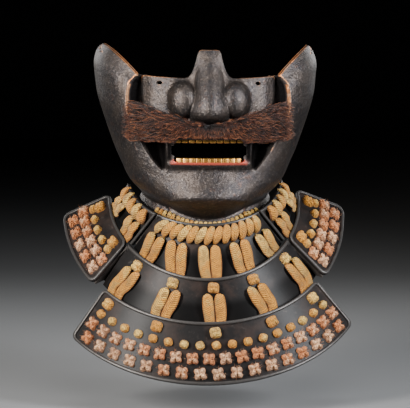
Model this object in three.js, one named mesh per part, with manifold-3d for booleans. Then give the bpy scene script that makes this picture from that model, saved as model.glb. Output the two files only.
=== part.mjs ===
// A samurai face guard: an iron half mask with a moustache, and the laced throat guard
// that hangs from its lower edge. Millimetres, +Z up, the face looks along -Y.
// The origin is on the inside of the chin, where the wearer's chin rests.
import * as THREE from "three";
import { mergeVertices } from "three/addons/utils/BufferGeometryUtils.js";
import Module from "manifold-3d";

const wasm = await Module();
wasm.setup();

// Driving dimensions
const wallIron = 2;
const wallLame = 1.6;
const rimRise = 1.4;
const rimWidth = 3;
const gap = 0.3;
const axisY = 62;
const mouthHalfWidth = 30;
const laceWidth = 8.2;
const laceThick = 2;
const threadThick = 1.4;
const stemWidth = 1.8;
const holeWidth = 2.6;
const knotSize = 9.4;
const smallKnotSize = 7.4;

const radians = Math.PI / 180;
const lerp = THREE.MathUtils.lerp;
const clamp = THREE.MathUtils.clamp;
const root = new THREE.Group();

const iron = { color: 0x3a3230, roughness: 0.55, metalness: 0.8 };
const lacquer = { color: 0x2a2626, roughness: 0.35, metalness: 0.1 };
const leather = { color: 0x15110f, roughness: 0.85, metalness: 0 };
const gilt = { color: 0xd8b060, roughness: 0.35, metalness: 1 };
const bristle = { color: 0x78402c, roughness: 0.8, metalness: 0 };
const goldSilk = { color: 0xe6c883, roughness: 0.8, metalness: 0 };
const peachSilk = { color: 0xe8c0a0, roughness: 0.85, metalness: 0 };

// Solids and meshes

function geometryOf(vertices, triangles) {
  const geometry = new THREE.BufferGeometry();
  geometry.setAttribute("position", new THREE.Float32BufferAttribute(vertices, 3));
  geometry.setIndex(triangles);
  return geometry;
}

function solidOf(geometry) {
  const bare = geometry.clone();
  bare.deleteAttribute("normal");
  bare.deleteAttribute("uv");
  const merged = mergeVertices(bare, 1e-4);
  const vertProperties = new Float32Array(merged.getAttribute("position").array);
  const triVerts = new Uint32Array(merged.index.array);
  return new wasm.Manifold(new wasm.Mesh({ numProp: 3, vertProperties, triVerts }));
}

function geometryOfSolid(solid) {
  const mesh = solid.getMesh();
  return geometryOf(Array.from(mesh.vertProperties), Array.from(mesh.triVerts));
}

function addPiece(name, geometry, finish, placing = new THREE.Matrix4()) {
  const shape = geometry.index ? geometry.toNonIndexed() : geometry;
  shape.applyMatrix4(placing);
  shape.computeVertexNormals();
  const mesh = new THREE.Mesh(shape, new THREE.MeshStandardMaterial(finish));
  mesh.name = name;
  root.add(mesh);
}

// The same shape on the other side of the face.
function mirrored(geometry) {
  const flat = geometry.index ? geometry.toNonIndexed() : geometry.clone();
  const at = flat.getAttribute("position");
  const vertices = [];
  for (let i = 0; i < at.count; i += 3) {
    for (const k of [0, 2, 1]) {
      vertices.push(-at.getX(i + k), at.getY(i + k), at.getZ(i + k));
    }
  }
  const triangles = vertices.slice(0, at.count).map((value, index) => index);
  return mergeVertices(geometryOf(vertices, triangles), 1e-4);
}

// A wall between an outer and an inner grid of points, with open cells as holes.
function wallGeometry(outer, inner, isOpen = () => false) {
  const rows = outer.length;
  const columns = outer[0].length;
  const vertices = [];
  for (const grid of [outer, inner]) {
    for (const row of grid) {
      for (const point of row) {
        vertices.push(point.x, point.y, point.z);
      }
    }
  }
  const triangles = [];
  const index = (side, i, j) => side * rows * columns + i * columns + j;
  const quad = (a, b, c, d) => triangles.push(a, b, c, a, c, d);
  const closed = (i, j) => i >= 0 && j >= 0 && i < rows - 1 && j < columns - 1 && !isOpen(i, j);
  for (let i = 0; i < rows - 1; i += 1) {
    for (let j = 0; j < columns - 1; j += 1) {
      if (!closed(i, j)) continue;
      const corner = [[i, j], [i + 1, j], [i + 1, j + 1], [i, j + 1]];
      const front = corner.map(([a, b]) => index(0, a, b));
      const back = corner.map(([a, b]) => index(1, a, b));
      quad(front[0], front[1], front[2], front[3]);
      quad(back[3], back[2], back[1], back[0]);
      const beside = [closed(i, j - 1), closed(i + 1, j), closed(i, j + 1), closed(i - 1, j)];
      beside.forEach((joined, k) => {
        const next = (k + 1) % 4;
        if (!joined) quad(front[k], back[k], back[next], front[next]);
      });
    }
  }
  const geometry = geometryOf(vertices, triangles);
  if (signedVolume(vertices, triangles) < 0) {
    for (let k = 0; k < triangles.length; k += 3) {
      [triangles[k + 1], triangles[k + 2]] = [triangles[k + 2], triangles[k + 1]];
    }
    geometry.setIndex(triangles);
  }
  return geometry;
}

function signedVolume(vertices, triangles) {
  const point = (k) => new THREE.Vector3().fromArray(vertices, 3 * k);
  let volume = 0;
  for (let k = 0; k < triangles.length; k += 3) {
    const [a, b, c] = [point(triangles[k]), point(triangles[k + 1]), point(triangles[k + 2])];
    volume += a.dot(b.cross(c)) / 6;
  }
  return volume;
}

// A value read from a table by height, joined smoothly from row to row.
function readTable(table, key, height) {
  const last = table.length - 1;
  let k = 0;
  while (k < last - 1 && table[k + 1].z > height) k += 1;
  const value = (n) => table[clamp(n, 0, last)][key];
  const t = clamp((table[k].z - height) / (table[k].z - table[k + 1].z), 0, 1);
  const slopeA = (value(k + 1) - value(k - 1)) / 2;
  const slopeB = (value(k + 2) - value(k)) / 2;
  const a = value(k);
  const b = value(k + 1);
  const t2 = t * t;
  const t3 = t2 * t;
  return a * (2 * t3 - 3 * t2 + 1) + slopeA * (t3 - 2 * t2 + t) + b * (3 * t2 - 2 * t3) + slopeB * (t3 - t2);
}

// The mask. Each row is a level of the front of the face: its height on the nose, its
// height beside the nose, how far forward the middle and the cheeks lie, the half width
// of the nose, and how far forward the nose's edge stands behind its ridge.
const frontRows = [
  { name: "brow edge", noseZ: 109, z: 86.8, ridgeY: 9.5, faceY: 10, curve: 0.0042, nose: 9.2, set: 5 },
  { name: "brow", noseZ: 105.5, z: 84.5, ridgeY: 8, faceY: 9, curve: 0.0045, nose: 9.4, set: 5.2 },
  { name: "bridge", noseZ: 96, z: 80.5, ridgeY: 3.5, faceY: 8, curve: 0.005, nose: 10.2, set: 6 },
  { name: "upper nose", noseZ: 85, z: 75, ridgeY: -3.5, faceY: 7, curve: 0.0053, nose: 11.6, set: 7.5 },
  { name: "middle nose", noseZ: 74, z: 69, ridgeY: -10.5, faceY: 6, curve: 0.0056, nose: 13, set: 8.5 },
  { name: "nose tip", noseZ: 63.8, z: 63, ridgeY: -14.5, faceY: 5, curve: 0.0058, nose: 13.8, set: 9 },
  { name: "nose end", noseZ: 58, z: 58, ridgeY: -12.5, faceY: 3.5, curve: 0.0059, nose: 13.8, set: 9 },
  { name: "nose base", noseZ: 53.5, z: 53.5, ridgeY: -0.5, faceY: 1.5, curve: 0.006, nose: 13, set: 1.5 },
  { name: "upper lip", noseZ: 47, z: 47, ridgeY: -1.5, faceY: -1, curve: 0.0062, nose: 12, set: 0 },
  { name: "mouth top", noseZ: 40, z: 40, ridgeY: -1, faceY: -1, curve: 0.0063, nose: 12, set: 0 },
  { name: "mouth", noseZ: 30.5, z: 30.5, ridgeY: -1, faceY: -1, curve: 0.0065, nose: 12, set: 0 },
  { name: "lower lip", noseZ: 22.8, z: 22.8, ridgeY: -2.6, faceY: -2.6, curve: 0.0068, nose: 12, set: 0 },
  { name: "under lip", noseZ: 19.8, z: 19.4, ridgeY: -1.6, faceY: -1.6, curve: 0.0072, nose: 12, set: 0 },
  { name: "lip hollow", noseZ: 16.6, z: 16, ridgeY: 1.2, faceY: 1.2, curve: 0.0076, nose: 12, set: 0 },
  { name: "chin", noseZ: 9, z: 8.6, ridgeY: -1.4, faceY: -1.4, curve: 0.0095, nose: 12, set: 0 },
  { name: "low chin", noseZ: 1, z: 0.4, ridgeY: -3.2, faceY: -3.2, curve: 0.0115, nose: 12, set: 0 },
  { name: "chin ridge", noseZ: -4.8, z: -6.6, ridgeY: -3.6, faceY: -3.6, curve: 0.0135, nose: 12, set: 0 },
  { name: "ridge foot", noseZ: -6.4, z: -8, ridgeY: -2.2, faceY: -2.2, curve: 0.0135, nose: 12, set: 0 },
  { name: "under chin", noseZ: -15, z: -10.2, ridgeY: 7, faceY: 7, curve: 0.0125, nose: 12, set: 0 },
  { name: "throat", noseZ: -23, z: -13.5, ridgeY: 16, faceY: 16, curve: 0.0125, nose: 12, set: 0 },
  { name: "flange", noseZ: -28.5, z: -20, ridgeY: 12.5, faceY: 12.5, curve: 0.0125, nose: 12, set: 0 },
];
const mouthRows = { top: 9, bottom: 11 };
const ridgeRow = 16;

// Where the cheek ends, where the standing edge of the side plate runs over the fold,
// and how deep the fold is below that edge, by height.
const foldTable = [
  { z: 90.5, cheek: 52.6, edge: 53.8, edgeY: 25, depth: 0.5 },
  { z: 86.5, cheek: 52.2, edge: 55.8, edgeY: 23.5, depth: 10 },
  { z: 80, cheek: 52.2, edge: 62.2, edgeY: 22, depth: 16 },
  { z: 70, cheek: 52, edge: 64.2, edgeY: 21.5, depth: 18 },
  { z: 60, cheek: 49, edge: 63.6, edgeY: 21.5, depth: 18 },
  { z: 50, cheek: 41, edge: 60, edgeY: 20.5, depth: 17 },
  { z: 40, cheek: 33.4, edge: 54, edgeY: 18.5, depth: 16 },
  { z: 31, cheek: 32.6, edge: 49.6, edgeY: 17, depth: 14 },
  { z: 22.8, cheek: 32.6, edge: 43.6, edgeY: 14, depth: 9.5 },
  { z: 17, cheek: 32, edge: 37.8, edgeY: 11, depth: 4 },
  { z: 10, cheek: 31.2, edge: 33.4, edgeY: 9, depth: 0 },
  { z: -8, cheek: 29.5, edge: 32, edgeY: 11, depth: 0 },
  { z: -28, cheek: 27, edge: 29.5, edgeY: 25, depth: 0 },
];

// The rear edge of the side plate, from the ear tip down to the jaw, by row.
const rearRows = [
  { row: 0, x: 83.4, y: 80, z: 113.8 },
  { row: 1, x: 87.6, y: 81.5, z: 109 },
  { row: 3, x: 90, y: 82, z: 99 },
  { row: 6, x: 87, y: 79.5, z: 79 },
  { row: 9, x: 80, y: 75, z: 55 },
  { row: 12, x: 72, y: 69, z: 31.5 },
  { row: 16, x: 61, y: 60, z: 8 },
  { row: 17, x: 59, y: 60, z: 6.4 },
  { row: 18, x: 54.5, y: 60, z: 1 },
  { row: 19, x: 50.5, y: 60, z: -4.5 },
  { row: 20, x: 53, y: 60, z: -8.5 },
];

const earBulge = 1.3;
const bulb = { x: 21, z: 70, halfWidth: 9.8, halfHeight: 15, rise: 9.5 };

function rearAt(row) {
  let k = 0;
  while (k < rearRows.length - 2 && rearRows[k + 1].row <= row) k += 1;
  const a = rearRows[k];
  const b = rearRows[k + 1];
  const t = (row - a.row) / (b.row - a.row);
  return new THREE.Vector3(lerp(a.x, b.x, t), lerp(a.y, b.y, t), lerp(a.z, b.z, t));
}

// The height of a row at a distance x from the middle of the face.
function rowHeight(row, x) {
  const { noseZ, z } = row;
  if (noseZ < 50) return lerp(noseZ, z, Math.min(x / 30, 1) ** 2);
  const t = clamp((x - 9) / 9, 0, 1);
  return lerp(noseZ, z, 1 - (1 - t) ** 3);
}

// How far forward the front of the face lies.
function faceDepth(row, x, z) {
  const side = row.faceY + row.curve * x * x;
  const across = (x - bulb.x) / bulb.halfWidth;
  const upright = (z - bulb.z) / bulb.halfHeight;
  const swell = bulb.rise * Math.sqrt(Math.max(0, 1 - across * across - upright * upright));
  const t = x / row.nose;
  const noseY = row.ridgeY + row.curve * x * x + row.set * t ** 1.6;
  if (t < 1) return Math.min(noseY, side);
  const behind = clamp((x - row.nose) / 2.6, 0, 1);
  return Math.min(lerp(Math.min(noseY, side), side, behind), side - swell * behind);
}

// The right half of one row of the mask, from the middle to the rear edge.
function maskRow(row, number) {
  const points = [];
  const put = (x, y, z) => points.push(new THREE.Vector3(x, y, z));
  const fold = (key) => readTable(foldTable, key, row.z);
  const cheekX = fold("cheek");
  const creaseX = row.nose + 2.4;
  const front = [0, row.nose * 0.42, row.nose * 0.78, row.nose, creaseX];
  for (const t of [0.22, 0.48, 0.76, 1]) front.push(lerp(creaseX, mouthHalfWidth, t));
  for (const t of [0.34, 0.68, 1]) front.push(lerp(mouthHalfWidth, cheekX, t));
  for (const x of front) {
    const z = rowHeight(row, x) + 0.0009 * x * x * (number < 6 ? 1 : 0);
    put(x, faceDepth(row, x, z), z);
  }
  const cheek = points[points.length - 1];
  const rear = rearAt(number);
  const edge = new THREE.Vector3(fold("edge"), fold("edgeY"), 0);
  if (number >= ridgeRow) edge.y = cheek.y + 1.28 * (edge.x - cheek.x);
  if (number === 0) edge.y = cheek.y + 1.2;
  const slope = number < ridgeRow ? 0.04 : 0.12;
  edge.z = cheek.z + slope * (edge.x - cheek.x);
  const bearing = Math.atan2(edge.x, axisY - edge.y);
  const reach = Math.hypot(edge.x, axisY - edge.y);
  const depth = fold("depth");
  const floor = reach - depth;
  const cheekBearing = Math.atan2(cheek.x, axisY - cheek.y);
  const cheekReach = Math.hypot(cheek.x, axisY - cheek.y);
  const polar = (angle, radius, z) => put(radius * Math.sin(angle), axisY - radius * Math.cos(angle), z);
  const deep = Math.min(depth / 8, 1);
  const between = (t) => lerp(cheekReach, reach, t);
  const inFold = lerp(between(0.45), Math.min(floor + 3, cheekReach - 1), deep);
  polar(lerp(cheekBearing, bearing, 0.45), inFold, cheek.z);
  polar(lerp(cheekBearing, bearing, 0.8), lerp(between(0.8), floor, deep), lerp(cheek.z, edge.z, 0.8));
  points.push(edge);
  const side = [0.045, 0.2, 0.4, 0.6, 0.8, 1];
  const rearReach = Math.hypot(rear.x, axisY - rear.y);
  const rearBearing = Math.atan2(rear.x, axisY - rear.y);
  for (const t of side) {
    const angle = lerp(bearing, rearBearing, t);
    const radius = lerp(reach, rearReach, t) + 2.5 * Math.sin(Math.PI * t) * (number < ridgeRow ? 1 : 0);
    const outward = (radius * Math.sin(angle) - edge.x) / (rear.x - edge.x);
    const bulged = 1 - (1 - clamp(outward, 0, 1)) ** earBulge;
    polar(angle, radius, lerp(edge.z, rear.z, number < 5 ? bulged : t ** 1.15));
  }
  return points;
}

function maskGeometry() {
  const halves = frontRows.map(maskRow);
  const outer = halves.map((half) => {
    const left = half.slice(1).reverse();
    return [...left.map((p) => new THREE.Vector3(-p.x, p.y, p.z)), ...half];
  });
  const radius = (p) => Math.hypot(p.x, axisY - p.y);
  const inner = outer.map((row, i) => row.map((p, j) => {
    const near = [];
    for (const a of [i - 1, i, i + 1]) {
      for (const b of [j - 1, j, j + 1]) {
        if (outer[a] && outer[a][b]) near.push(radius(outer[a][b]));
      }
    }
    const above = outer[Math.max(i - 1, 0)][j];
    const below = outer[Math.min(i + 1, outer.length - 1)][j];
    const lean = (radius(above) - radius(below)) / Math.max(above.z - below.z, 1);
    const slanted = radius(p) - wallIron * Math.hypot(1, lean);
    const reach = Math.max(Math.min(...near) - wallIron, Math.min(slanted, radius(p) - wallIron));
    const scale = reach / radius(p);
    return new THREE.Vector3(p.x * scale, axisY - (axisY - p.y) * scale, p.z);
  }));
  const middle = halves[0].length - 1;
  const cornerColumn = halves[0].findIndex((p) => p.x === mouthHalfWidth);
  const isMouth = (i, j) =>
    i >= mouthRows.top && i < mouthRows.bottom && j >= middle - cornerColumn && j < middle + cornerColumn;
  return { geometry: wallGeometry(outer, inner, isMouth), outer, inner, middle };
}

const mask = maskGeometry();
addPiece("mask", mask.geometry, iron);

// The throat guard hangs a little askew below the mask, turned about a point of the chin.
const askew = new THREE.Matrix4().makeTranslation(0, 0, -10);
askew.multiply(new THREE.Matrix4().makeRotationY(-1.8 * radians));
askew.multiply(new THREE.Matrix4().makeTranslation(0, 0, 10));

// The collars: ellipses round the neck, tilted down to the front. The lames run from
// one collar to the next, and each lower rim stands in front of the lame above it.
const collars = {
  first: { halfWidth: 59.5, halfDepth: 65, tilt: 30, frontY: 6, frontZ: -25.2 },
  second: { halfWidth: 74.5, halfDepth: 100, tilt: 33, frontY: -8, frontZ: -65.6 },
  third: { halfWidth: 98, halfDepth: 98, tilt: 33, frontY: -18, frontZ: -98.5 },
  foot: { halfWidth: 128, halfDepth: 128, tilt: 33, frontY: -34, frontZ: -144.5 },
};

function onCollar(name, angle, out = 0, down = 0) {
  const { halfWidth, halfDepth, tilt, frontY, frontZ } = collars[name];
  const forward = halfDepth - (halfDepth + out) * Math.cos(angle * radians);
  return new THREE.Vector3(
    (halfWidth + out) * Math.sin(angle * radians),
    frontY + forward * Math.cos(tilt * radians),
    frontZ + forward * Math.sin(tilt * radians) - down,
  );
}

const arc = (name, from, to, out, down) => (u) => onCollar(name, lerp(from, to, u), out, down);

// The outer edge of the right wing, bowed a little outwards.
function wingFoot(u) {
  const front = new THREE.Vector3(91.5, 23, -73);
  const rear = new THREE.Vector3(114.5, 86, -24);
  const bow = 5 * Math.sin(Math.PI * u);
  return front.lerp(rear, u).add(new THREE.Vector3(bow * 0.9, -bow * 0.3, -bow * 0.3));
}

// The lames: the curve of the rim, the curve of the lower edge, the number of strips along
// the lame, and the edges that have a raised rim.
const setIn = -5.2;
const lames = {
  tier1_front: {
    rim: arc("first", -39.5, 39.5),
    foot: arc("second", -55.5, 55.5, setIn, 5),
    strips: 20,
    rims: "top",
  },
  tier1_right: {
    rim: arc("first", 40.5, 83.4),
    foot: arc("second", 57.2, 90, setIn, 4),
    strips: 10,
    rims: "top left right",
  },
  tier2_front: {
    rim: arc("second", -54.8, 55.2),
    foot: arc("third", -62.5, 65.5, setIn, 5),
    strips: 22,
    rims: "top",
  },
  wing_right: {
    rim: arc("second", 56.5, 94),
    foot: wingFoot,
    strips: 10,
    rims: "top left right bottom",
  },
  tier3_front: {
    rim: arc("third", -55.8, 57.4),
    foot: arc("foot", -57.7, 60.4),
    strips: 26,
    rims: "top left right bottom",
  },
};

// A point of a lame's inner face, with its outward normal and the directions along and down.
function onLame(name, s, t, out = 0) {
  const { rim, foot } = lames[name];
  const belly = (u, v) => rim(u).lerp(foot(u), v);
  const step = 0.002;
  const along = belly(Math.min(s + step, 1), t).sub(belly(Math.max(s - step, 0), t)).normalize();
  const down = foot(s).sub(rim(s)).normalize();
  const normal = new THREE.Vector3().crossVectors(down, along).normalize();
  const at = belly(s, t).addScaledVector(normal, out);
  return { at, along, down, normal };
}

// The lines of a lame's grid from edge to edge, with a step where a rim ends.
function gridLines(length, count, startRim, endRim) {
  const lines = [];
  const width = rimWidth / length;
  const foot = (rimWidth + 0.9) / length;
  const from = startRim ? foot : 0;
  const to = endRim ? 1 - foot : 1;
  if (startRim) lines.push({ t: 0, rise: 1 }, { t: width, rise: 1 });
  for (let k = 0; k <= count; k += 1) lines.push({ t: lerp(from, to, k / count), rise: 0 });
  if (endRim) lines.push({ t: 1 - width, rise: 1 }, { t: 1, rise: 1 });
  return lines;
}

function lameGeometry(name) {
  const { rim, foot, strips, rims } = lames[name];
  const has = (edge) => rims.split(" ").includes(edge);
  const span = (curve) => curve(0).distanceTo(curve(0.5)) + curve(0.5).distanceTo(curve(1));
  const across = gridLines((span(rim) + span(foot)) / 2, strips, has("left"), has("right"));
  const depth = rim(0.5).distanceTo(foot(0.5));
  const downward = gridLines(depth, 3, has("top"), has("bottom"));
  const outer = [];
  const inner = [];
  for (const v of downward) {
    const rise = (u) => Math.max(u.rise, v.rise) * rimRise;
    outer.push(across.map((u) => onLame(name, u.t, v.t, wallLame + rise(u)).at));
    inner.push(across.map((u) => onLame(name, u.t, v.t).at));
  }
  return wallGeometry(outer, inner);
}

// A block that stands on a lame along its normal, from one height to another.
function post(frame, width, from, to) {
  const block = new THREE.BoxGeometry(width, width, to - from);
  const upward = frame.normal.clone().cross(frame.along);
  const basis = new THREE.Matrix4().makeBasis(frame.along, upward, frame.normal);
  block.applyMatrix4(basis);
  const centre = frame.at.clone().addScaledVector(frame.normal, (from + to) / 2);
  block.translate(centre.x, centre.y, centre.z);
  return block;
}

// A rounded knot on a lame. Its lobes stand out towards its corners, and its foot is flat.
function knotOn(frame, width, height, lobes) {
  const knot = new THREE.SphereGeometry(1, lobes > 0.1 ? 8 : 6, 3);
  const at = knot.getAttribute("position");
  const foot = wallLame + gap;
  for (let k = 0; k < at.count; k += 1) {
    const p = new THREE.Vector3().fromBufferAttribute(at, k);
    const turn = Math.atan2(p.z, p.x);
    const spread = (width / 2) * (1 + lobes * Math.cos(4 * (turn - Math.PI / 4)));
    const up = foot + Math.max(0, 0.35 + 0.65 * p.y) * height;
    const place = frame.at.clone();
    place.addScaledVector(frame.along, p.x * spread);
    place.addScaledVector(frame.down, p.z * spread);
    place.addScaledVector(frame.normal, up);
    at.setXYZ(k, place.x, place.y, place.z);
  }
  return facingOut(knot);
}

function facingOut(geometry) {
  const bare = geometry.clone();
  bare.deleteAttribute("normal");
  bare.deleteAttribute("uv");
  const merged = mergeVertices(bare, 1e-4);
  const triangles = Array.from(merged.index.array);
  const kept = [];
  for (let k = 0; k < triangles.length; k += 3) {
    const [a, b, c] = triangles.slice(k, k + 3);
    if (a !== b && b !== c && c !== a) kept.push(a, b, c);
  }
  const vertices = Array.from(merged.getAttribute("position").array);
  if (signedVolume(vertices, kept) < 0) kept.reverse();
  return geometryOf(vertices, kept);
}

// A flat band through frames. Each frame has its place, its side direction, its normal,
// its width and its thickness.
function bandThrough(frames) {
  const vertices = [];
  const triangles = [];
  for (const { at, side, normal, width, thick } of frames) {
    for (const [a, b] of [[-0.5, -0.5], [-0.4, 0.5], [0.4, 0.5], [0.5, -0.5]]) {
      const p = at.clone().addScaledVector(side, a * width).addScaledVector(normal, b * thick);
      vertices.push(p.x, p.y, p.z);
    }
  }
  const ring = 4;
  const last = (frames.length - 1) * ring;
  for (let k = 0; k < frames.length - 1; k += 1) {
    for (let j = 0; j < ring; j += 1) {
      const a = k * ring + j;
      const b = k * ring + ((j + 1) % ring);
      triangles.push(a, b, b + ring, a, b + ring, a + ring);
    }
  }
  for (let j = 1; j < ring - 1; j += 1) {
    triangles.push(0, j + 1, j, last, last + j, last + j + 1);
  }
  if (signedVolume(vertices, triangles) < 0) triangles.reverse();
  return geometryOf(vertices, triangles);
}

function joined(geometries) {
  const solids = geometries.map(solidOf);
  return geometryOfSolid(solids.reduce((whole, solid) => whole.add(solid)));
}

const onFace = wallLame + gap + threadThick / 2;
const holes = Object.fromEntries(Object.keys(lames).map((name) => [name, []]));

// A row of knots joined along the thread that runs under them, over the lame's face.
function knotRow({ lame, count, from, to, t, width, height, lobes }) {
  const frames = [];
  const shapes = [];
  for (let k = 0; k < count; k += 1) {
    const frame = onLame(lame, lerp(from, to, k / (count - 1)), t);
    const at = frame.at.clone().addScaledVector(frame.normal, onFace);
    frames.push({ at, side: frame.down, normal: frame.normal, width: threadThick, thick: threadThick });
    shapes.push(knotOn(frame, width, height, lobes));
  }
  return joined([bandThrough(frames), ...shapes]);
}

const cross = { width: 8.8, height: 4.2, lobes: 0.13 };
const roundKnot = { width: smallKnotSize, height: 3.6, lobes: 0.02 };
const knotRows = {
  knots_tier3: { lame: "tier3_front", count: 17, from: 0.055, to: 0.945, t: 0.375, ...roundKnot },
  crosses_tier3_upper: { lame: "tier3_front", count: 18, from: 0.045, to: 0.955, t: 0.59, ...cross },
  crosses_tier3_lower: { lame: "tier3_front", count: 17, from: 0.058, to: 0.942, t: 0.825, ...cross },
  knots_wing_right: { lame: "wing_right", count: 5, from: 0.16, to: 0.86, t: 0.37, ...roundKnot, width: 7 },
  crosses_wing_right_upper: { lame: "wing_right", count: 6, from: 0.12, to: 0.9, t: 0.57, ...cross },
  crosses_wing_right_lower: { lame: "wing_right", count: 5, from: 0.14, to: 0.84, t: 0.79, ...cross },
};

// How far down a lame its large knots sit.
const knotDepth = { tier2_front: 0.22, wing_right: 0.22, tier3_front: 0.175 };

// Lace pairs. Each leaves the upper lame's face, passes behind the lower lame's rim and
// comes out below it as a knot.
function lacePair({ upper, s, t, lower, knotS, loose = 0 }) {
  const shapes = [];
  const lift = 0.1 + 0.9 * loose;
  const close = 0.9 - 0.4 * loose;
  const off = wallLame + gap + laceThick / 2 + lift;
  const under = -(gap + laceThick / 2 + 0.15);
  const knotFrame = onLame(lower, knotS, knotDepth[lower]);
  for (const hand of [-1, 1]) {
    const frames = [];
    const put = (frame, out, apart, width, thick = laceThick) => {
      const at = frame.at.clone().addScaledVector(frame.normal, out);
      at.addScaledVector(frame.along, (hand * apart) / 2);
      frames.push({ at, side: frame.along, normal: frame.normal, width, thick });
    };
    const towards = lerp(s, knotS, 0.6);
    put(onLame(upper, s, t), off, laceWidth, laceWidth * 0.45);
    put(onLame(upper, s, t + 0.07), off + 0.5, laceWidth, laceWidth * 1.02);
    put(onLame(upper, lerp(s, towards, 0.5), (t + 0.9) / 2), off + 0.2, laceWidth - 0.4, laceWidth);
    put(onLame(upper, towards, 0.9), off - lift, laceWidth * close, laceWidth * close);
    put(knotFrame, under, 3, 4);
    shapes.push(bandThrough(frames));
  }
  shapes.push(post(knotFrame, stemWidth, under, wallLame + gap + 1.2));
  shapes.push(knotOn(knotFrame, knotSize, 4.6, 0.04));
  holes[lower].push(post(knotFrame, holeWidth, -1, wallLame + 1));
  return joined(shapes);
}

const pairTable = [
  { name: "lace_1_1", upper: "tier1_front", s: 0.11, t: 0.43, lower: "tier2_front", knotS: 0.108 },
  { name: "lace_1_2", upper: "tier1_front", s: 0.27, t: 0.42, lower: "tier2_front", knotS: 0.307 },
  { name: "lace_1_3", upper: "tier1_front", s: 0.495, t: 0.415, lower: "tier2_front", knotS: 0.505 },
  { name: "lace_1_4", upper: "tier1_front", s: 0.708, t: 0.42, lower: "tier2_front", knotS: 0.706 },
  { name: "lace_1_5", upper: "tier1_front", s: 0.9, t: 0.45, lower: "tier2_front", knotS: 0.912 },
  { name: "lace_1_6", upper: "tier1_right", s: 0.25, t: 0.48, lower: "wing_right", knotS: 0.18, loose: 1 },
  { name: "lace_1_7", upper: "tier1_right", s: 0.78, t: 0.48, lower: "wing_right", knotS: 0.83, loose: 1 },
  { name: "lace_2_1", upper: "tier2_front", s: 0.103, t: 0.345, lower: "tier3_front", knotS: 0.06 },
  { name: "lace_2_2", upper: "tier2_front", s: 0.31, t: 0.375, lower: "tier3_front", knotS: 0.28 },
  { name: "lace_2_3", upper: "tier2_front", s: 0.5, t: 0.375, lower: "tier3_front", knotS: 0.5 },
  { name: "lace_2_4", upper: "tier2_front", s: 0.698, t: 0.375, lower: "tier3_front", knotS: 0.72 },
  { name: "lace_2_5", upper: "tier2_front", s: 0.92, t: 0.36, lower: "tier3_front", knotS: 0.925 },
];

// The slanted stitches under a rim, wound side by side like a rope.
const stitchForm = [
  { reach: -5.6, wide: 0.75, thick: 1.4 },
  { reach: 0, wide: 1.12, thick: 2.6 },
  { reach: 5.6, wide: 0.75, thick: 1.4 },
];

function stitchRow({ lame, count, from, to, t, lean, lift }) {
  const shapes = [];
  for (let k = 0; k < count; k += 1) {
    const frame = onLame(lame, lerp(from, to, k / (count - 1)), t);
    const pitch = (onLame(lame, to, t).at.distanceTo(onLame(lame, from, t).at) * 1.07) / (count - 1);
    const direction = frame.down.clone().addScaledVector(frame.along, -lean).normalize();
    const side = frame.normal.clone().cross(direction).normalize();
    const middle = frame.at.clone().addScaledVector(frame.normal, wallLame + gap + 1.3 + lift);
    shapes.push(bandThrough(stitchForm.map(({ reach, wide, thick }) => ({
      at: middle.clone().addScaledVector(direction, reach),
      side,
      normal: frame.normal,
      width: pitch * wide,
      thick,
    }))));
  }
  return joined(shapes);
}

const stitchRows = {
  stitches_front: { lame: "tier1_front", count: 13, from: 0.1, to: 0.9, t: 0.215, lean: 0.35, lift: 0.65 },
  stitches_right: { lame: "tier1_right", count: 5, from: 0.17, to: 0.83, t: 0.24, lean: 0.3, lift: 0.95 },
};

// The close-set laces from the flange of the mask down to the back of the first lame.
function onMaskRow(number, x) {
  const row = mask.outer[number];
  let k = 0;
  while (k < row.length - 2 && row[k + 1].x < x) k += 1;
  const t = clamp((x - row[k].x) / (row[k + 1].x - row[k].x), 0, 1);
  return row[k].clone().lerp(row[k + 1], t);
}

function flangeLacing({ lame, count, from, to, spread, thin, thick }) {
  const outer = [[], [], []];
  const inner = [[], [], []];
  const lowest = frontRows.length - 1;
  const straight = askew.clone().invert();
  for (let k = 0; k <= 2 * count; k += 1) {
    const swell = k % 2 === 1 ? thick : thin;
    const { at, normal } = onLame(lame, lerp(from, to, k / (2 * count)), 0.27, -gap);
    const away = new THREE.Vector3(at.x, at.y - axisY, 0).normalize();
    const edge = onMaskRow(lowest, at.x * spread).applyMatrix4(straight).addScaledVector(away, 0.5);
    const fold = onMaskRow(lowest - 1, at.x * spread).applyMatrix4(straight);
    const start = fold.lerp(edge, 0.35).addScaledVector(away, 0.76);
    const low = edge.clone().add(new THREE.Vector3(0, 0, -0.8));
    outer[0].push(start.clone().addScaledVector(away, swell));
    outer[1].push(low.clone().addScaledVector(away, swell));
    outer[2].push(at);
    inner[0].push(start);
    inner[1].push(low);
    inner[2].push(at.clone().addScaledVector(normal, -swell));
  }
  return wallGeometry(outer, inner);
}

const flangeRow = { lame: "tier1_front", count: 24, from: 0.07, to: 0.93, spread: 1.08, thin: 0.9, thick: 2 };

// The leather behind the gap between a front panel and a side panel.
function hingeGeometry(front, side) {
  const outer = [];
  const inner = [];
  for (const t of [0.06, 0.35, 0.65, 0.94]) {
    const line = [onLame(front, 0.966, t), onLame(front, 1, t), onLame(side, 0, t), onLame(side, 0.07, t)];
    outer.push(line.map(({ at, normal }) => at.clone().addScaledVector(normal, -gap)));
    inner.push(line.map(({ at, normal }) => at.clone().addScaledVector(normal, -gap - 1.2)));
  }
  return wallGeometry(outer, inner);
}

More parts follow.
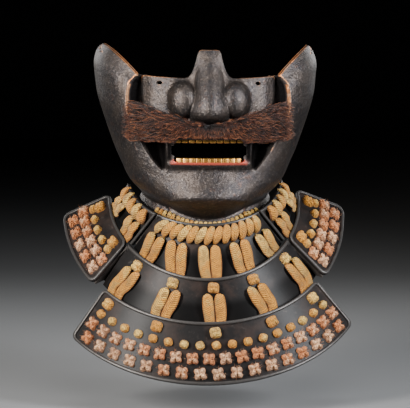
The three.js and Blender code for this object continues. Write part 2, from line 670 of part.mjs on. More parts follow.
// The moustache: the outer form of the bristles, spread from the middle to both ends.
const moustache = { reach: 66, bow: 0.0052, frontY: -5.6 };
function moustacheGeometry() {
  const table = [
    { x: 0, z: 45.4, height: 13.5, thick: 7 },
    { x: 16, z: 46.6, height: 17, thick: 7.6 },
    { x: 34, z: 50.5, height: 23, thick: 8 },
    { x: 52, z: 54, height: 29, thick: 7 },
    { x: 62, z: 54.6, height: 29, thick: 5 },
    { x: moustache.reach, z: 54.6, height: 24, thick: 3 },
  ];
  const rows = [...table.slice(1).reverse().map((row) => ({ ...row, x: -row.x })), ...table];
  const sides = 10;
  const outer = rows.map(({ x, z, height, thick }) => {
    const y = moustache.frontY + moustache.bow * x * x;
    const ring = [];
    for (let k = 0; k < sides; k += 1) {
      const turn = (2 * Math.PI * k) / sides;
      ring.push(new THREE.Vector3(x, y - (thick / 2) * Math.sin(turn), z + (height / 2) * Math.cos(turn)));
    }
    return ring;
  });
  return loftGeometry(outer);
}

// A closed loft through rings of points.
function loftGeometry(rings) {
  const sides = rings[0].length;
  const vertices = rings.flat().flatMap((p) => [p.x, p.y, p.z]);
  const triangles = [];
  for (let i = 0; i < rings.length - 1; i += 1) {
    for (let k = 0; k < sides; k += 1) {
      const a = i * sides + k;
      const b = i * sides + ((k + 1) % sides);
      triangles.push(a, b, b + sides, a, b + sides, a + sides);
    }
  }
  const last = (rings.length - 1) * sides;
  for (let k = 1; k < sides - 1; k += 1) {
    triangles.push(0, k + 1, k, last, last + k, last + k + 1);
  }
  if (signedVolume(vertices, triangles) < 0) triangles.reverse();
  return geometryOf(vertices, triangles);
}

// A row of teeth on one strip, set close behind the edge of the mouth.
function teethGeometry({ count, halfWidth, frontY, low, high }) {
  const outer = [];
  const inner = [];
  for (const z of [high, low]) {
    const out = [];
    const back = [];
    for (let k = 0; k <= 2 * count; k += 1) {
      const x = lerp(-halfWidth, halfWidth, k / (2 * count));
      const y = frontY + 0.0066 * x * x;
      out.push(new THREE.Vector3(x, y - (k % 2 === 1 ? 0.7 : 0), z));
      back.push(new THREE.Vector3(x, y + 1.6, z));
    }
    outer.push(out);
    inner.push(back);
  }
  return wallGeometry(outer, inner);
}

addPiece("moustache", moustacheGeometry(), bristle);
const teethRows = {
  upper_teeth: { count: 10, halfWidth: 27, frontY: 2.4, low: 37.4, high: 43.5 },
  lower_teeth: { count: 10, halfWidth: 26, frontY: 2.8, low: 19.5, high: 26 },
};
for (const [name, row] of Object.entries(teethRows)) addPiece(name, teethGeometry(row), gilt);

// Hangs a piece on the throat guard, and the same piece on the left where it is of the right.
function hang(name, geometry, finish, leftName = name.replace("right", "left")) {
  const twin = mirrored(geometry);
  addPiece(name, geometry, finish, askew);
  if (leftName !== name) addPiece(leftName, twin, finish, askew);
}

for (const [name, row] of Object.entries(knotRows)) {
  hang(name, knotRow(row), name.startsWith("knots") ? goldSilk : peachSilk);
}
for (const row of pairTable) {
  const leftName = row.upper === "tier1_right" ? `${row.name}_left` : row.name;
  hang(row.name, lacePair(row), goldSilk, leftName);
}
for (const [name, row] of Object.entries(stitchRows)) hang(name, stitchRow(row), goldSilk);
hang("flange_lacing", flangeLacing(flangeRow), goldSilk);
hang("tier1_hinge_right", hingeGeometry("tier1_front", "tier1_right"), leather);
hang("tier2_hinge_right", hingeGeometry("tier2_front", "wing_right"), leather);
for (const name of Object.keys(lames)) {
  const whole = solidOf(lameGeometry(name));
  const cut = holes[name].reduce((solid, hole) => solid.subtract(solidOf(hole)), whole);
  hang(name, geometryOfSolid(cut), lacquer);
}

export default root;
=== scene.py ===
import math
import random

import bpy
from mathutils import Matrix, Vector
from mathutils.bvhtree import BVHTree


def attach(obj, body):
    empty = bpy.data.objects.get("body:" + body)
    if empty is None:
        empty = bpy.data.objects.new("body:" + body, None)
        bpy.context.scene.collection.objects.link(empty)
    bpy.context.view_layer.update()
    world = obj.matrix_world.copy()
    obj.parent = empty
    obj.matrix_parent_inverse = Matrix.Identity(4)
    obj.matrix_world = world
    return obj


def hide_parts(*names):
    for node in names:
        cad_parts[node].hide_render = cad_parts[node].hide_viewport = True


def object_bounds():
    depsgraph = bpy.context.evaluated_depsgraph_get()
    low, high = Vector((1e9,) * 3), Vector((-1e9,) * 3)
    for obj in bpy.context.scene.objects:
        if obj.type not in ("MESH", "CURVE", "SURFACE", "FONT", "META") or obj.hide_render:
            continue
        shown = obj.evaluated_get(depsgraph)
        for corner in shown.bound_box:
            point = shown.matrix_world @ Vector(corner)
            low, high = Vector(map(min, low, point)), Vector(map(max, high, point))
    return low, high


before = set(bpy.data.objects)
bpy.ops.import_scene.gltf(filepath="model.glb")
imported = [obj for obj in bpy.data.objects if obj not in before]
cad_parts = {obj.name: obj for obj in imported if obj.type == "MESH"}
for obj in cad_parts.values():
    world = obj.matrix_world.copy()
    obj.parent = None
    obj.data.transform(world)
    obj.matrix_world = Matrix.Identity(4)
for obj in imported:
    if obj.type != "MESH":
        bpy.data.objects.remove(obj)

cad_box = [list(corner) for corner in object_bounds()]


# The mask is one shell of iron, hammered out from behind into nose, cheeks and chin. It has
# a russet brown patina with a fine pitted grain, its edges are worn to bright metal, and its
# lower lip is lacquered red. The small holes take cords at the ear tips and on the cheeks.
mm = 0.001
mask_axis = Vector((0, 62 * mm, 0))
cheek_bend = {"x": 44 * mm, "foot": 56 * mm, "slope": 0.5}
lip_zone = {"foot": 20.4 * mm, "top": 24.9 * mm, "half_width": 31 * mm, "rear": 9 * mm}

iron_brown = (0.070, 0.056, 0.049, 1)
iron_black = (0.036, 0.035, 0.038, 1)
iron_rust = (0.19, 0.10, 0.062, 1)
bare_iron = (0.50, 0.26, 0.14, 1)
copper_edge = (0.60, 0.22, 0.07, 1)
lip_red = (0.42, 0.062, 0.035, 1)
inside_brown = (0.05, 0.017, 0.011, 1)


class Wire:
    """A socket of a finish. Arithmetic on it adds Math nodes."""

    def __init__(self, finish, socket):
        self.finish = finish
        self.socket = socket

    def worked(self, operation, *values):
        return self.finish.add("ShaderNodeMath", {"operation": operation}, dict(enumerate(values)))

    def __add__(self, other):
        return self.worked("ADD", self, other)

    def __sub__(self, other):
        return self.worked("SUBTRACT", self, other)

    def __rsub__(self, other):
        return self.worked("SUBTRACT", other, self)

    def __mul__(self, other):
        return self.worked("MULTIPLY", self, other)

    __radd__ = __add__
    __rmul__ = __mul__

    def within(self, low, high):
        """0 below low, 1 above high, and smooth between them."""
        values = {"Value": self, "From Min": low, "From Max": high}
        return self.finish.add("ShaderNodeMapRange", {"interpolation_type": "SMOOTHSTEP"}, values)


class Finish:
    """A material of one shader, built by adding nodes to it."""

    def __init__(self, name, **constants):
        self.material = bpy.data.materials.new(name)
        self.material.use_nodes = True
        self.tree = self.material.node_tree
        self.shader = self.tree.nodes["Principled BSDF"]
        for socket, value in constants.items():
            self.shader.inputs[socket.replace("_", " ")].default_value = value

    def add(self, kind, settings, values, output=0):
        node = self.tree.nodes.new(kind)
        for key, value in settings.items():
            setattr(node, key, value)
        for key, value in values.items():
            if isinstance(value, Wire):
                self.tree.links.new(value.socket, node.inputs[key])
            else:
                node.inputs[key].default_value = value
        return Wire(self, node.outputs[output])

    def place(self):
        return self.add("ShaderNodeTexCoord", {}, {}, "Object")

    def attribute(self, name):
        return self.add("ShaderNodeAttribute", {"attribute_name": name}, {}, "Fac")

    def noise(self, size, detail=4, roughness=0.6):
        values = {"Vector": self.place(), "Scale": 1 / size, "Detail": detail, "Roughness": roughness}
        return self.add("ShaderNodeTexNoise", {}, values)

    def cells(self, size):
        values = {"Vector": self.place(), "Scale": 1 / size}
        return self.add("ShaderNodeTexVoronoi", {}, values, "Distance")

    def blend(self, factor, first, second):
        return self.add("ShaderNodeMix", {"data_type": "RGBA"}, {0: factor, 6: first, 7: second}, 2)

    def feed(self, socket, value):
        self.tree.links.new(value.socket, self.shader.inputs[socket])

    def emboss(self, height, depth):
        self.feed("Normal", self.add("ShaderNodeBump", {}, {"Height": height, "Distance": depth}))


def select_none():
    bpy.ops.object.select_all(action="DESELECT")


def select_mesh():
    bpy.ops.mesh.select_all(action="SELECT")


def edit(on=True):
    bpy.ops.object.mode_set(mode="EDIT" if on else "OBJECT")


def take_up(piece):
    select_none()
    piece.select_set(True)
    bpy.context.view_layer.objects.active = piece


def finish_with(piece, kind, **settings):
    """Adds a modifier and applies it."""
    take_up(piece)
    modifier = piece.modifiers.new(kind.lower(), kind)
    for key, value in settings.items():
        setattr(modifier, key, value)
    bpy.ops.object.modifier_apply(modifier=modifier.name)


def face_outward(piece):
    take_up(piece)
    edit()
    select_mesh()
    bpy.ops.mesh.normals_make_consistent(inside=False)
    edit(False)


def paint(piece, name, value_of):
    """Keeps a number for each vertex, which the finish reads by name."""
    layer = piece.data.attributes.new(name, "FLOAT", "POINT")
    for vertex in piece.data.vertices:
        layer.data[vertex.index].value = value_of(vertex)


def table(columns, *rows):
    """Rows of a table, each with its values under the names of the columns."""
    return [dict(zip(columns.split(), row)) for row in rows]


def ramp(value, low, high):
    t = min(max((value - low) / (high - low), 0), 1)
    return t * t * (3 - 2 * t)


def outward(point):
    """The level direction from the axis of the mask to a point."""
    away = Vector((point.x - mask_axis.x, point.y - mask_axis.y, 0))
    return away.normalized()


mask = bpy.data.objects.new("mask_shell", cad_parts["mask"].data.copy())
bpy.context.collection.objects.link(mask)
take_up(mask)
edit()
select_mesh()
bpy.ops.mesh.remove_doubles(threshold=0.01 * mm)
bpy.ops.mesh.tris_convert_to_quads(face_threshold=math.pi, shape_threshold=math.pi)
bpy.ops.mesh.select_mode(type="EDGE")
bpy.ops.mesh.select_all(action="DESELECT")
bpy.ops.mesh.edges_select_sharp(sharpness=math.radians(52))
edit(False)
for edge in mask.data.edges:
    first, second = (mask.data.vertices[k].co for k in edge.vertices)
    across_wall = abs((second - first).normalized().dot(outward(first))) > 0.8
    if across_wall and (second - first).length < 6 * mm:
        edge.select = False
edit()
bpy.ops.transform.edge_crease(value=0.82)
edit(False)
finish_with(mask, "SUBSURF", levels=2, render_levels=2)

# The swellings beside the nose are hammered out round, with a groove all round them. The
# corners of the mouth are rounded, the tip of the nose is drawn down, and the chin stands out.
bulb = {"x": 20.6, "z": 69.8, "half_width": 11.4, "half_height": 14.6, "rise": 11, "wall": 2.1}
nose_half_width = 15
mouth = {"half_width": 30 * mm, "middle": 31.6 * mm, "half_height": 6 * mm}
corner_shift = {"across": 2.2 * mm, "up": 1.9 * mm}
nose_tip = {"half_width": 14 * mm, "drop": 1.5 * mm, "foot": 50 * mm, "top": 66 * mm}
chin = {"half_width": 38 * mm, "forward": 3.4 * mm, "foot": -17 * mm, "top": 9 * mm}
inner_wall = [vertex.normal.dot(outward(vertex.co)) < 0 for vertex in mask.data.vertices]
for vertex in mask.data.vertices:
    point = vertex.co
    if point.y > 30 * mm:
        continue
    x, z = abs(point.x) / mm, point.z / mm
    beside, above = (x - bulb["x"]) / bulb["half_width"], (z - bulb["z"]) / bulb["half_height"]
    from_bulb = math.hypot(beside, above)
    swell = 4.9 + 0.0055 * x * x + 0.05 * (z - bulb["z"])
    swell -= bulb["rise"] * math.sqrt(max(0, 1 - from_bulb ** 2.2))
    if inner_wall[vertex.index]:
        swell += bulb["wall"]
    share = 1 - ramp(from_bulb, 0.95, 1.08)
    share *= 1 if x > nose_half_width else ramp(point.y / mm - swell, 0, 0.4)
    point.y += (swell * mm - point.y) * share
    across = abs(point.x) / mouth["half_width"]
    upright = abs(point.z - mouth["middle"]) / mouth["half_height"]
    corner = ramp(across, 0.75, 1) * ramp(1.12 - across, 0, 0.1)
    corner *= ramp(upright, 0.5, 1) * ramp(1.7 - upright, 0, 0.6)
    point.x -= math.copysign(corner_shift["across"] * corner, point.x)
    point.z -= math.copysign(corner_shift["up"] * corner, point.z - mouth["middle"])
    in_tip = math.sqrt(max(0, 1 - (point.x / nose_tip["half_width"]) ** 2))
    in_tip *= ramp(3 * mm - point.y, 0, 4 * mm) * ramp(nose_tip["top"] - point.z, 0, 7 * mm)
    point.z -= nose_tip["drop"] * in_tip * ramp(point.z, nose_tip["foot"], nose_tip["foot"] + 4 * mm)
    in_chin = ramp(chin["half_width"] - abs(point.x), 0, 14 * mm) * ramp(chin["top"] - point.z, 0, 15 * mm)
    point.y -= chin["forward"] * in_chin * ramp(point.z, chin["foot"], chin["foot"] + 9 * mm)

# The cheek is bent back along an upright line, and falls away behind it.
for vertex in mask.data.vertices:
    point = vertex.co
    beyond = max(0, abs(point.x) - cheek_bend["x"])
    on_cheek = ramp(54 * mm - abs(point.x), 0, 2 * mm) if point.y < 28 * mm else 0
    level = ramp(point.z, cheek_bend["foot"], cheek_bend["foot"] + 8 * mm)
    point.y += cheek_bend["slope"] * beyond * level * on_cheek


# The jaw runs round from chin to cheek without a crease: each place on it takes the mean
# distance from the axis of the places beside it.
def distance_out(bearing, level):
    """How far from its axis the outside of the mask lies."""
    away = Vector((math.sin(bearing), -math.cos(bearing), 0))
    axis = Vector((mask_axis.x, mask_axis.y, level))
    place = mask_tree.ray_cast(axis + away * 150 * mm, -away)[0]
    return (place - axis).length if place else None


places = [vertex.co.copy() for vertex in mask.data.vertices]
mask_tree = BVHTree.FromPolygons(places, [list(face.vertices) for face in mask.data.polygons])
smoothing_step = math.radians(2.5)
smoothed = {}
for vertex in mask.data.vertices:
    point = vertex.co
    share = ramp(abs(point.x), 15 * mm, 22 * mm) * ramp(58 * mm - abs(point.x), 0, 8 * mm)
    share *= ramp(19 * mm - point.z, 0, 5 * mm) * ramp(point.z, -8 * mm, -5 * mm)
    if share < 0.01:
        continue
    bearing = math.atan2(point.x, mask_axis.y - point.y)
    reaches = [distance_out(bearing + smoothing_step * k, point.z) for k in range(-4, 5)]
    if None not in reaches:
        shift = sum(reaches) / len(reaches) - reaches[4]
        smoothed[vertex.index] = point + outward(point) * shift * share
for index, point in smoothed.items():
    mask.data.vertices[index].co = point

ear_holes = [(83.6, 61, 109.3), (81.4, 56, 107), (83, 65, 111.4)]
cheek_holes = [(38.4, 15.6, 83.4)]


def punch(piece, places, size, length, stretch):
    """Drives small drop-shaped holes through a wall, on both sides of the face."""
    cutters = []
    for x, y, z in places:
        for hand in (1, -1):
            at = Vector((hand * x * mm, y * mm, z * mm))
            select_none()
            bpy.ops.mesh.primitive_cylinder_add(vertices=10, radius=size / 2, depth=length, location=at)
            cutter = bpy.context.object
            cutter.rotation_mode = "QUATERNION"
            cutter.rotation_quaternion = outward(at).to_track_quat("Z", "Y")
            cutter.scale = (stretch, 0.8, 1)
            cutters.append(cutter)
    for cutter in cutters:
        cutter.select_set(True)
    bpy.ops.object.join()
    cutter = bpy.context.object
    bpy.ops.object.transform_apply(location=True, rotation=True, scale=True)
    finish_with(piece, "BOOLEAN", object=cutter, solver="EXACT")
    bpy.data.objects.remove(cutter)


punch(mask, ear_holes, 1.9 * mm, 12 * mm, 2.4)
punch(mask, cheek_holes, 3.6 * mm, 12 * mm, 1.35)
take_up(mask)
bpy.ops.object.shade_smooth_by_angle(angle=math.radians(50))


def sharpness(piece):
    """How sharply the surface turns outwards at each vertex, from 0 to 1."""
    total = [0.0] * len(piece.data.vertices)
    count = [0] * len(piece.data.vertices)
    for edge in piece.data.edges:
        first, second = (piece.data.vertices[k] for k in edge.vertices)
        span = second.co - first.co
        if span.length < 1e-7:
            continue
        turn = (second.normal - first.normal).dot(span) / span.length_squared
        for vertex in (first, second):
            total[vertex.index] += turn
            count[vertex.index] += 1
    return [total[k] / max(count[k], 1) for k in range(len(total))]


mask_turn = sharpness(mask)
fold_rows = table(
    "z cheek edge",
    (94, 52.6, 53.8), (90, 52.2, 55.8), (83.5, 52.2, 62.2), (73, 52, 64.2), (62.5, 49, 63.6),
    (52, 41, 60), (41.5, 33.6, 54), (32.2, 33, 49.6), (23.6, 33, 43.6), (17.5, 33.5, 37.8),
)


def in_fold(level, key):
    """Where the cheek ends, and where the standing edge of the side plate runs, by height."""
    for above, below in zip(fold_rows, fold_rows[1:]):
        if above["z"] >= level >= below["z"]:
            share = (above["z"] - level) / (above["z"] - below["z"])
            return above[key] + (below[key] - above[key]) * share
    return 200


def worn(vertex):
    """Bright edges: bare metal on the rims, most of all on the standing edge of the side plate."""
    point = vertex.co / mm
    wear = ramp(mask_turn[vertex.index], 90, 420)
    if point.y < 20 and abs(point.x) < 37 and 17 < point.z < 44:
        wear *= 0.15
    if point.z < 12 or (abs(point.x) < 24 and 48 < point.z < 84):
        wear *= 0.35
    if abs(point.x) < 50 and point.z > 78 and point.y > 0:
        wear *= 0.55
    if 8 < point.y < 34 and point.z > 46 and vertex.normal.dot(outward(vertex.co)) > -0.2:
        wear = max(wear, 1 - ramp(abs(abs(point.x) - in_fold(point.z, "edge") + 0.2), 0.35, 0.9))
    return wear


def painted_fold_shade(vertex):
    """Painted shade: the deep folds beside the cheeks and the corners of the mouth are darkened to near
    black, where shade falls.
    """
    point = vertex.co / mm
    from_edge = ramp(in_fold(point.z, "edge") - abs(point.x), 0.5, 2.2)
    fold = from_edge * ramp(abs(point.x) - in_fold(point.z, "cheek"), -0.6, 1)
    fold *= ramp(92.5 - point.z, 0, 3)
    corner = ramp(abs(point.x), 27, 30) * ramp(33.5 - abs(point.x), 0, 2) * (point.y < 14)
    return max(fold, corner * ramp(point.z, 22, 25) * ramp(40 - point.z, 0, 3))


paint(mask, "wear", worn)
paint(mask, "fold_shade", painted_fold_shade)
paint(mask, "inside", lambda vertex: ramp(-vertex.normal.dot(outward(vertex.co)), 0.05, 0.5))


def on_lip(vertex):
    point = vertex.co
    level = ramp(point.z, lip_zone["foot"], lip_zone["foot"] + 1.2 * mm)
    level *= ramp(lip_zone["top"] - point.z, 0, 1 * mm)
    return level * ramp(lip_zone["half_width"] - abs(point.x), 0, 3 * mm) * (point.y < lip_zone["rear"])


paint(mask, "lip", on_lip)

iron = Finish("iron", IOR=1.5)
pits = iron.noise(1.9 * mm, 3, 0.75)
patches = iron.noise(14 * mm, 5, 0.65)
specks = iron.noise(3.2 * mm, 4, 0.75)
bare = (iron.attribute("wear") + (specks - 0.5) * 0.5).within(0.3, 0.75)
colour = iron.blend(patches.within(0.38, 0.66), iron_brown, iron_black)
colour = iron.blend((patches * 0.6 + specks * 0.4).within(0.53, 0.72) * 0.55, colour, iron_rust)
colour = iron.blend(pits.within(0.54, 0.74) * 0.6, colour, (0.26, 0.225, 0.20, 1))
colour = iron.blend((1 - pits).within(0.54, 0.74) * 0.75, colour, (0.014, 0.012, 0.012, 1))
edge_tone = iron.blend(iron.noise(9 * mm, 2).within(0.4, 0.6), bare_iron, copper_edge)
colour = iron.blend(bare, colour, edge_tone)
colour = iron.blend(iron.attribute("inside") * (1 - bare * 0.7), colour, inside_brown)
colour = iron.blend(iron.attribute("lip") * (1 - specks.within(0.6, 0.75)), colour, lip_red)
# Painted shade: the folds and mouth corners are turned near black, and rougher, where shade falls in them.
fold_shade = iron.attribute("fold_shade")
colour = iron.blend(fold_shade, colour, (0.006, 0.005, 0.005, 1))
iron.feed("Base Color", colour)
iron.feed("Roughness", 0.33 + pits * 0.16 + iron.attribute("inside") * 0.3 - bare * 0.05 + fold_shade * 0.35)
iron.feed("Metallic", 0.85 - (iron.attribute("inside") + iron.attribute("lip")) * 0.7 + fold_shade * 0.1)
iron.emboss(pits * 1.3 + specks * 0.5 + patches * 1.6, 0.42 * mm)
mask.data.materials.clear()
mask.data.materials.append(iron.material)
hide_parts("mask")
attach(mask, "root")


# The lames hang below the chin in three tiers. Each is an iron strip with a half-round rim,
# lacquered black-brown, hammered flat first and then bent round the neck. A collar is an
# ellipse round the neck, tilted down to the front, and a lame runs from one to the next.
collars = {
    "first": {"half_width": 59.5, "half_depth": 65, "tilt": 30, "front_y": 6, "front_z": -25.2},
    "second": {"half_width": 74.5, "half_depth": 100, "tilt": 33, "front_y": -8, "front_z": -65.6},
    "third": {"half_width": 98, "half_depth": 98, "tilt": 33, "front_y": -18, "front_z": -98.5},
    "foot": {"half_width": 128, "half_depth": 128, "tilt": 33, "front_y": -34, "front_z": -144.5},
}
lame_wall = 1.6 * mm
rim_width = 2.7 * mm
rim_rise = 1.4 * mm
tuck = {"out": -5.2, "down": 5}


def on_collar(name, angle, out=0, down=0):
    collar = collars[name]
    turn, tilt = math.radians(angle), math.radians(collar["tilt"])
    forward = collar["half_depth"] - (collar["half_depth"] + out) * math.cos(turn)
    x = (collar["half_width"] + out) * math.sin(turn)
    y = collar["front_y"] + forward * math.cos(tilt)
    z = collar["front_z"] + forward * math.sin(tilt) - down
    return Vector((x, y, z)) * mm


def along_collar(name, start, end, out=0, down=0):
    return lambda u: on_collar(name, start + (end - start) * u, out, down)


def wing_edge(u):
    """The outer edge of the right wing, bowed a little outwards."""
    straight = Vector((91.5, 23, -73)).lerp(Vector((114.5, 86, -24)), u)
    bow = 5 * math.sin(math.pi * u)
    return (straight + Vector((0.9, -0.3, -0.3)) * bow) * mm


lames = {
    "tier1_front": {"rim": along_collar("first", -39.5, 39.5),
                    "foot": along_collar("second", -55.5, 55.5, **tuck),
                    "corner": 1.2, "closed": False, "side_rims": False},
    "tier1_right": {"rim": along_collar("first", 40.5, 83.4),
                    "foot": along_collar("second", 57.2, 90, -5.2, 4),
                    "corner": 1.2, "closed": False, "side_rims": True},
    "tier2_front": {"rim": along_collar("second", -54.8, 55.2),
                    "foot": along_collar("third", -62.5, 65.5, **tuck),
                    "corner": 1.2, "closed": False, "side_rims": False},
    "wing_right": {"rim": along_collar("second", 56.5, 94), "foot": wing_edge,
                   "corner": 7, "closed": True, "side_rims": True},
    "tier3_front": {"rim": along_collar("third", -55.8, 57.4),
                    "foot": along_collar("foot", -57.7, 60.4),
                    "corner": 5, "closed": True, "side_rims": True},
}


class Spot:
    """A place on a lame's inner face, with its directions along, down and out."""

    def __init__(self, name, s, t):
        rim, foot = lames[name]["rim"], lames[name]["foot"]
        step = 0.002
        first, last = max(s - step, 0), min(s + step, 1)
        self.at = rim(s).lerp(foot(s), t)
        self.along = (rim(last).lerp(foot(last), t) - rim(first).lerp(foot(first), t)).normalized()
        self.down = (foot(s) - rim(s)).normalized()
        self.out = self.down.cross(self.along).normalized()

    def point(self, along, down, out):
        return self.at + self.along * along + self.down * down + self.out * out


def lame_size(name):
    rim, foot = lames[name]["rim"], lames[name]["foot"]
    spans = [(curve(0.5) - curve(0)).length + (curve(1) - curve(0.5)).length for curve in (rim, foot)]
    return sum(spans) / 2, (foot(0.5) - rim(0.5)).length


def select_faces(piece, test):
    """Selects the faces whose middle passes a test, in edit mode and back."""
    bpy.ops.mesh.select_mode(type="FACE")
    bpy.ops.mesh.select_all(action="DESELECT")
    edit(False)
    for face in piece.data.polygons:
        face.select = test(face)
    edit()


def flat_lame(name):
    """A flat strip with a raised half-round rim, rounded at its corners."""
    width, depth = lame_size(name)
    corner, closed = lames[name]["corner"] * mm, lames[name]["closed"]
    below = 0 if closed else rim_width + 2 * corner
    select_none()
    bpy.ops.mesh.primitive_plane_add(size=1, location=(0, -below / 2, 0))
    plate = bpy.context.object
    plate.name = f"{name}_plate"
    plate.scale = (width, depth + below, 1)
    bpy.ops.object.transform_apply(location=True, rotation=True, scale=True)
    edit()
    select_mesh()
    bpy.ops.mesh.bevel(affect="VERTICES", offset=corner, segments=5)
    select_mesh()
    bpy.ops.mesh.extrude_region_move(TRANSFORM_OT_translate={"value": (0, 0, lame_wall)})
    select_faces(plate, lambda face: face.center.z > lame_wall * 0.9)
    bpy.ops.mesh.inset(thickness=rim_width)
    bpy.ops.mesh.select_all(action="INVERT")
    edit(False)
    for face in plate.data.polygons:
        face.select = face.select and face.center.z > lame_wall * 0.9
    edit()
    bpy.ops.mesh.extrude_region_move(TRANSFORM_OT_translate={"value": (0, 0, rim_rise)})
    bpy.ops.mesh.region_to_loop()
    bpy.ops.mesh.bevel(offset=rim_width * 0.36, segments=3, profile=0.5)
    for k in range(1, 72):
        cut_across(plate, (k / 72 - 0.5) * width, "x")
    for k in range(1, 8):
        cut_across(plate, (k / 8 - 0.5) * depth, "y")
    if not closed:
        select_mesh()
        bpy.ops.mesh.bisect(plane_co=(0, -depth / 2, 0), plane_no=(0, -1, 0), clear_outer=True,
                            use_fill=True)
    select_mesh()
    bpy.ops.mesh.normals_make_consistent(inside=False)
    edit(False)
    if not lames[name]["side_rims"]:
        for vertex in plate.data.vertices:
            at_side = abs(vertex.co.x) > width / 2 - 2 * rim_width
            if at_side and vertex.co.y < depth / 2 - rim_width * 1.05:
                vertex.co.z = min(vertex.co.z, lame_wall)
    return plate, width, depth


def cut_across(piece, place, direction):
    select_mesh()
    if direction == "x":
        bpy.ops.mesh.bisect(plane_co=(place, 0, 0), plane_no=(1, 0, 0))
    else:
        bpy.ops.mesh.bisect(plane_co=(0, place, 0), plane_no=(0, 1, 0))


def bend_lame(name):
    """Bends the flat strip round the neck, and keeps what its finish reads: the rim, and on the open lames
    the depth down the strip, by which the finish paints shade.
    """
    plate, width, depth = flat_lame(name)
    paint(plate, "rim", lambda vertex: ramp(vertex.co.z, lame_wall, lame_wall + 0.8 * rim_rise))
    # Painted shade: only the open lames keep a depth, which blackens their lower part in the finish.
    takes_lower_shade = 0 if lames[name]["closed"] else 1
    paint(plate, "depth", lambda vertex: takes_lower_shade * min(max(0.5 - vertex.co.y / depth, 0), 1))
    for vertex in plate.data.vertices:
        across = min(max(vertex.co.x / width + 0.5, 0), 1)
        down = min(max(0.5 - vertex.co.y / depth, 0), 1)
        vertex.co = Spot(name, across, down).point(0, 0, vertex.co.z)
    face_outward(plate)
    bpy.ops.object.shade_smooth_by_angle(angle=math.radians(35))
    return plate


def other_side(piece, name):
    """The same piece on the left of the face."""
    twin = bpy.data.objects.new(name, piece.data.copy())
    bpy.context.collection.objects.link(twin)
    for vertex in twin.data.vertices:
        vertex.co.x = -vertex.co.x
    twin.data.flip_normals()
    return twin


black_lacquer = (0.009, 0.008, 0.008, 1)
brown_lacquer = (0.026, 0.017, 0.014, 1)
dusty_lacquer = (0.12, 0.10, 0.09, 1)
worn_rim = (0.075, 0.07, 0.067, 1)
# The near black of the painted shadow on the lower part of the open lames.
shadow_black = (0.0015, 0.0013, 0.0013, 1)

lacquer = Finish("lacquer", IOR=1.5, Specular_IOR_Level=0.11, Coat_Roughness=0.3)
clouds = lacquer.noise(22 * mm, 4, 0.6)
grain = lacquer.noise(1.6 * mm, 3, 0.7)
scuffs = lacquer.noise(5 * mm, 5, 0.75)
rim = lacquer.attribute("rim")
rubbed = rim * (scuffs * 0.8 + 0.35).within(0.3, 0.85)
colour = lacquer.blend(clouds.within(0.42, 0.66), black_lacquer, brown_lacquer)
colour = lacquer.blend((scuffs + grain * 0.4).within(0.78, 0.95) * 0.3, colour, dusty_lacquer)
# Painted shade: the lower part of each open lame, which runs behind the rim of the next one, is turned
# near black and rougher.
painted_lower_shade = lacquer.attribute("depth").within(0.42, 0.66)
colour = lacquer.blend(painted_lower_shade * 0.9, colour, shadow_black)
colour = lacquer.blend(rubbed, colour, worn_rim)
lacquer.feed("Base Color", colour)
lacquer.feed("Roughness", 0.42 + scuffs * 0.2 + painted_lower_shade * 0.4 - rubbed * 0.12)
lacquer.feed("Metallic", rubbed * 0.7)
lacquer.feed("Coat Weight", 0.12 - rubbed * 0.1)
lacquer.emboss(grain * 0.5 + scuffs * 0.9 + clouds * 3, 0.14 * mm)

askew = Matrix.Translation((0, 0, -10 * mm)) @ Matrix.Rotation(math.radians(-1.8), 4, "Y")
askew = askew @ Matrix.Translation((0, 0, 10 * mm))


def hang_up(piece, finish, node):
    """Hangs a piece on the throat guard, which hangs a little askew below the mask."""
    piece.data.transform(askew)
    piece.data.materials.append(finish.material)
    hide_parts(node)
    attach(piece, "root")


for lame_name in lames:
    plate = bend_lame(lame_name)
    if "right" in lame_name:
        left_name = lame_name.replace("right", "left")
        hang_up(other_side(plate, f"{left_name}_plate"), lacquer, left_name)
    hang_up(plate, lacquer, lame_name)


# The hinges are strips of black leather behind the gaps between the panels of a tier. They
# are glued and laced to the backs of the panels, so that the tier bends round the neck.
leather = Finish("leather", Roughness=0.75)
creases = leather.cells(1.5 * mm)
leather.feed("Base Color", leather.blend(creases, (0.012, 0.009, 0.008, 1), (0.03, 0.022, 0.017, 1)))
leather.emboss(creases, 0.1 * mm)
for hinge_name in ("tier1_hinge_right", "tier1_hinge_left", "tier2_hinge_right", "tier2_hinge_left"):
    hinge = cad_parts[hinge_name]
    hinge.data.materials.clear()
    hinge.data.materials.append(leather.material)


# The lace pairs tie each tier to the next. Each is two flat silk braids that come out of two
# slits in the upper lame, hang over it and pass behind the rim of the lower one, where they
# end in a knot that is crossed through four holes.
lace_width = 8.5 * mm
lace_thick = 1.9 * mm
knot_depth = {"tier2_front": 0.22, "wing_right": 0.22, "tier3_front": 0.175}
lace_pairs = table(
    "name upper s t lower knot",
    ("lace_1_1", "tier1_front", 0.11, 0.43, "tier2_front", 0.108),
    ("lace_1_2", "tier1_front", 0.27, 0.42, "tier2_front", 0.307),
    ("lace_1_3", "tier1_front", 0.495, 0.415, "tier2_front", 0.505),
    ("lace_1_4", "tier1_front", 0.708, 0.42, "tier2_front", 0.706),
    ("lace_1_5", "tier1_front", 0.9, 0.45, "tier2_front", 0.912),
    ("lace_1_6", "tier1_right", 0.25, 0.48, "wing_right", 0.18),
    ("lace_1_7", "tier1_right", 0.78, 0.48, "wing_right", 0.83),
    ("lace_2_1", "tier2_front", 0.103, 0.345, "tier3_front", 0.06),
    ("lace_2_2", "tier2_front", 0.31, 0.375, "tier3_front", 0.28),
    ("lace_2_3", "tier2_front", 0.5, 0.375, "tier3_front", 0.5),
    ("lace_2_4", "tier2_front", 0.698, 0.375, "tier3_front", 0.72),
    ("lace_2_5", "tier2_front", 0.92, 0.36, "tier3_front", 0.925),
)


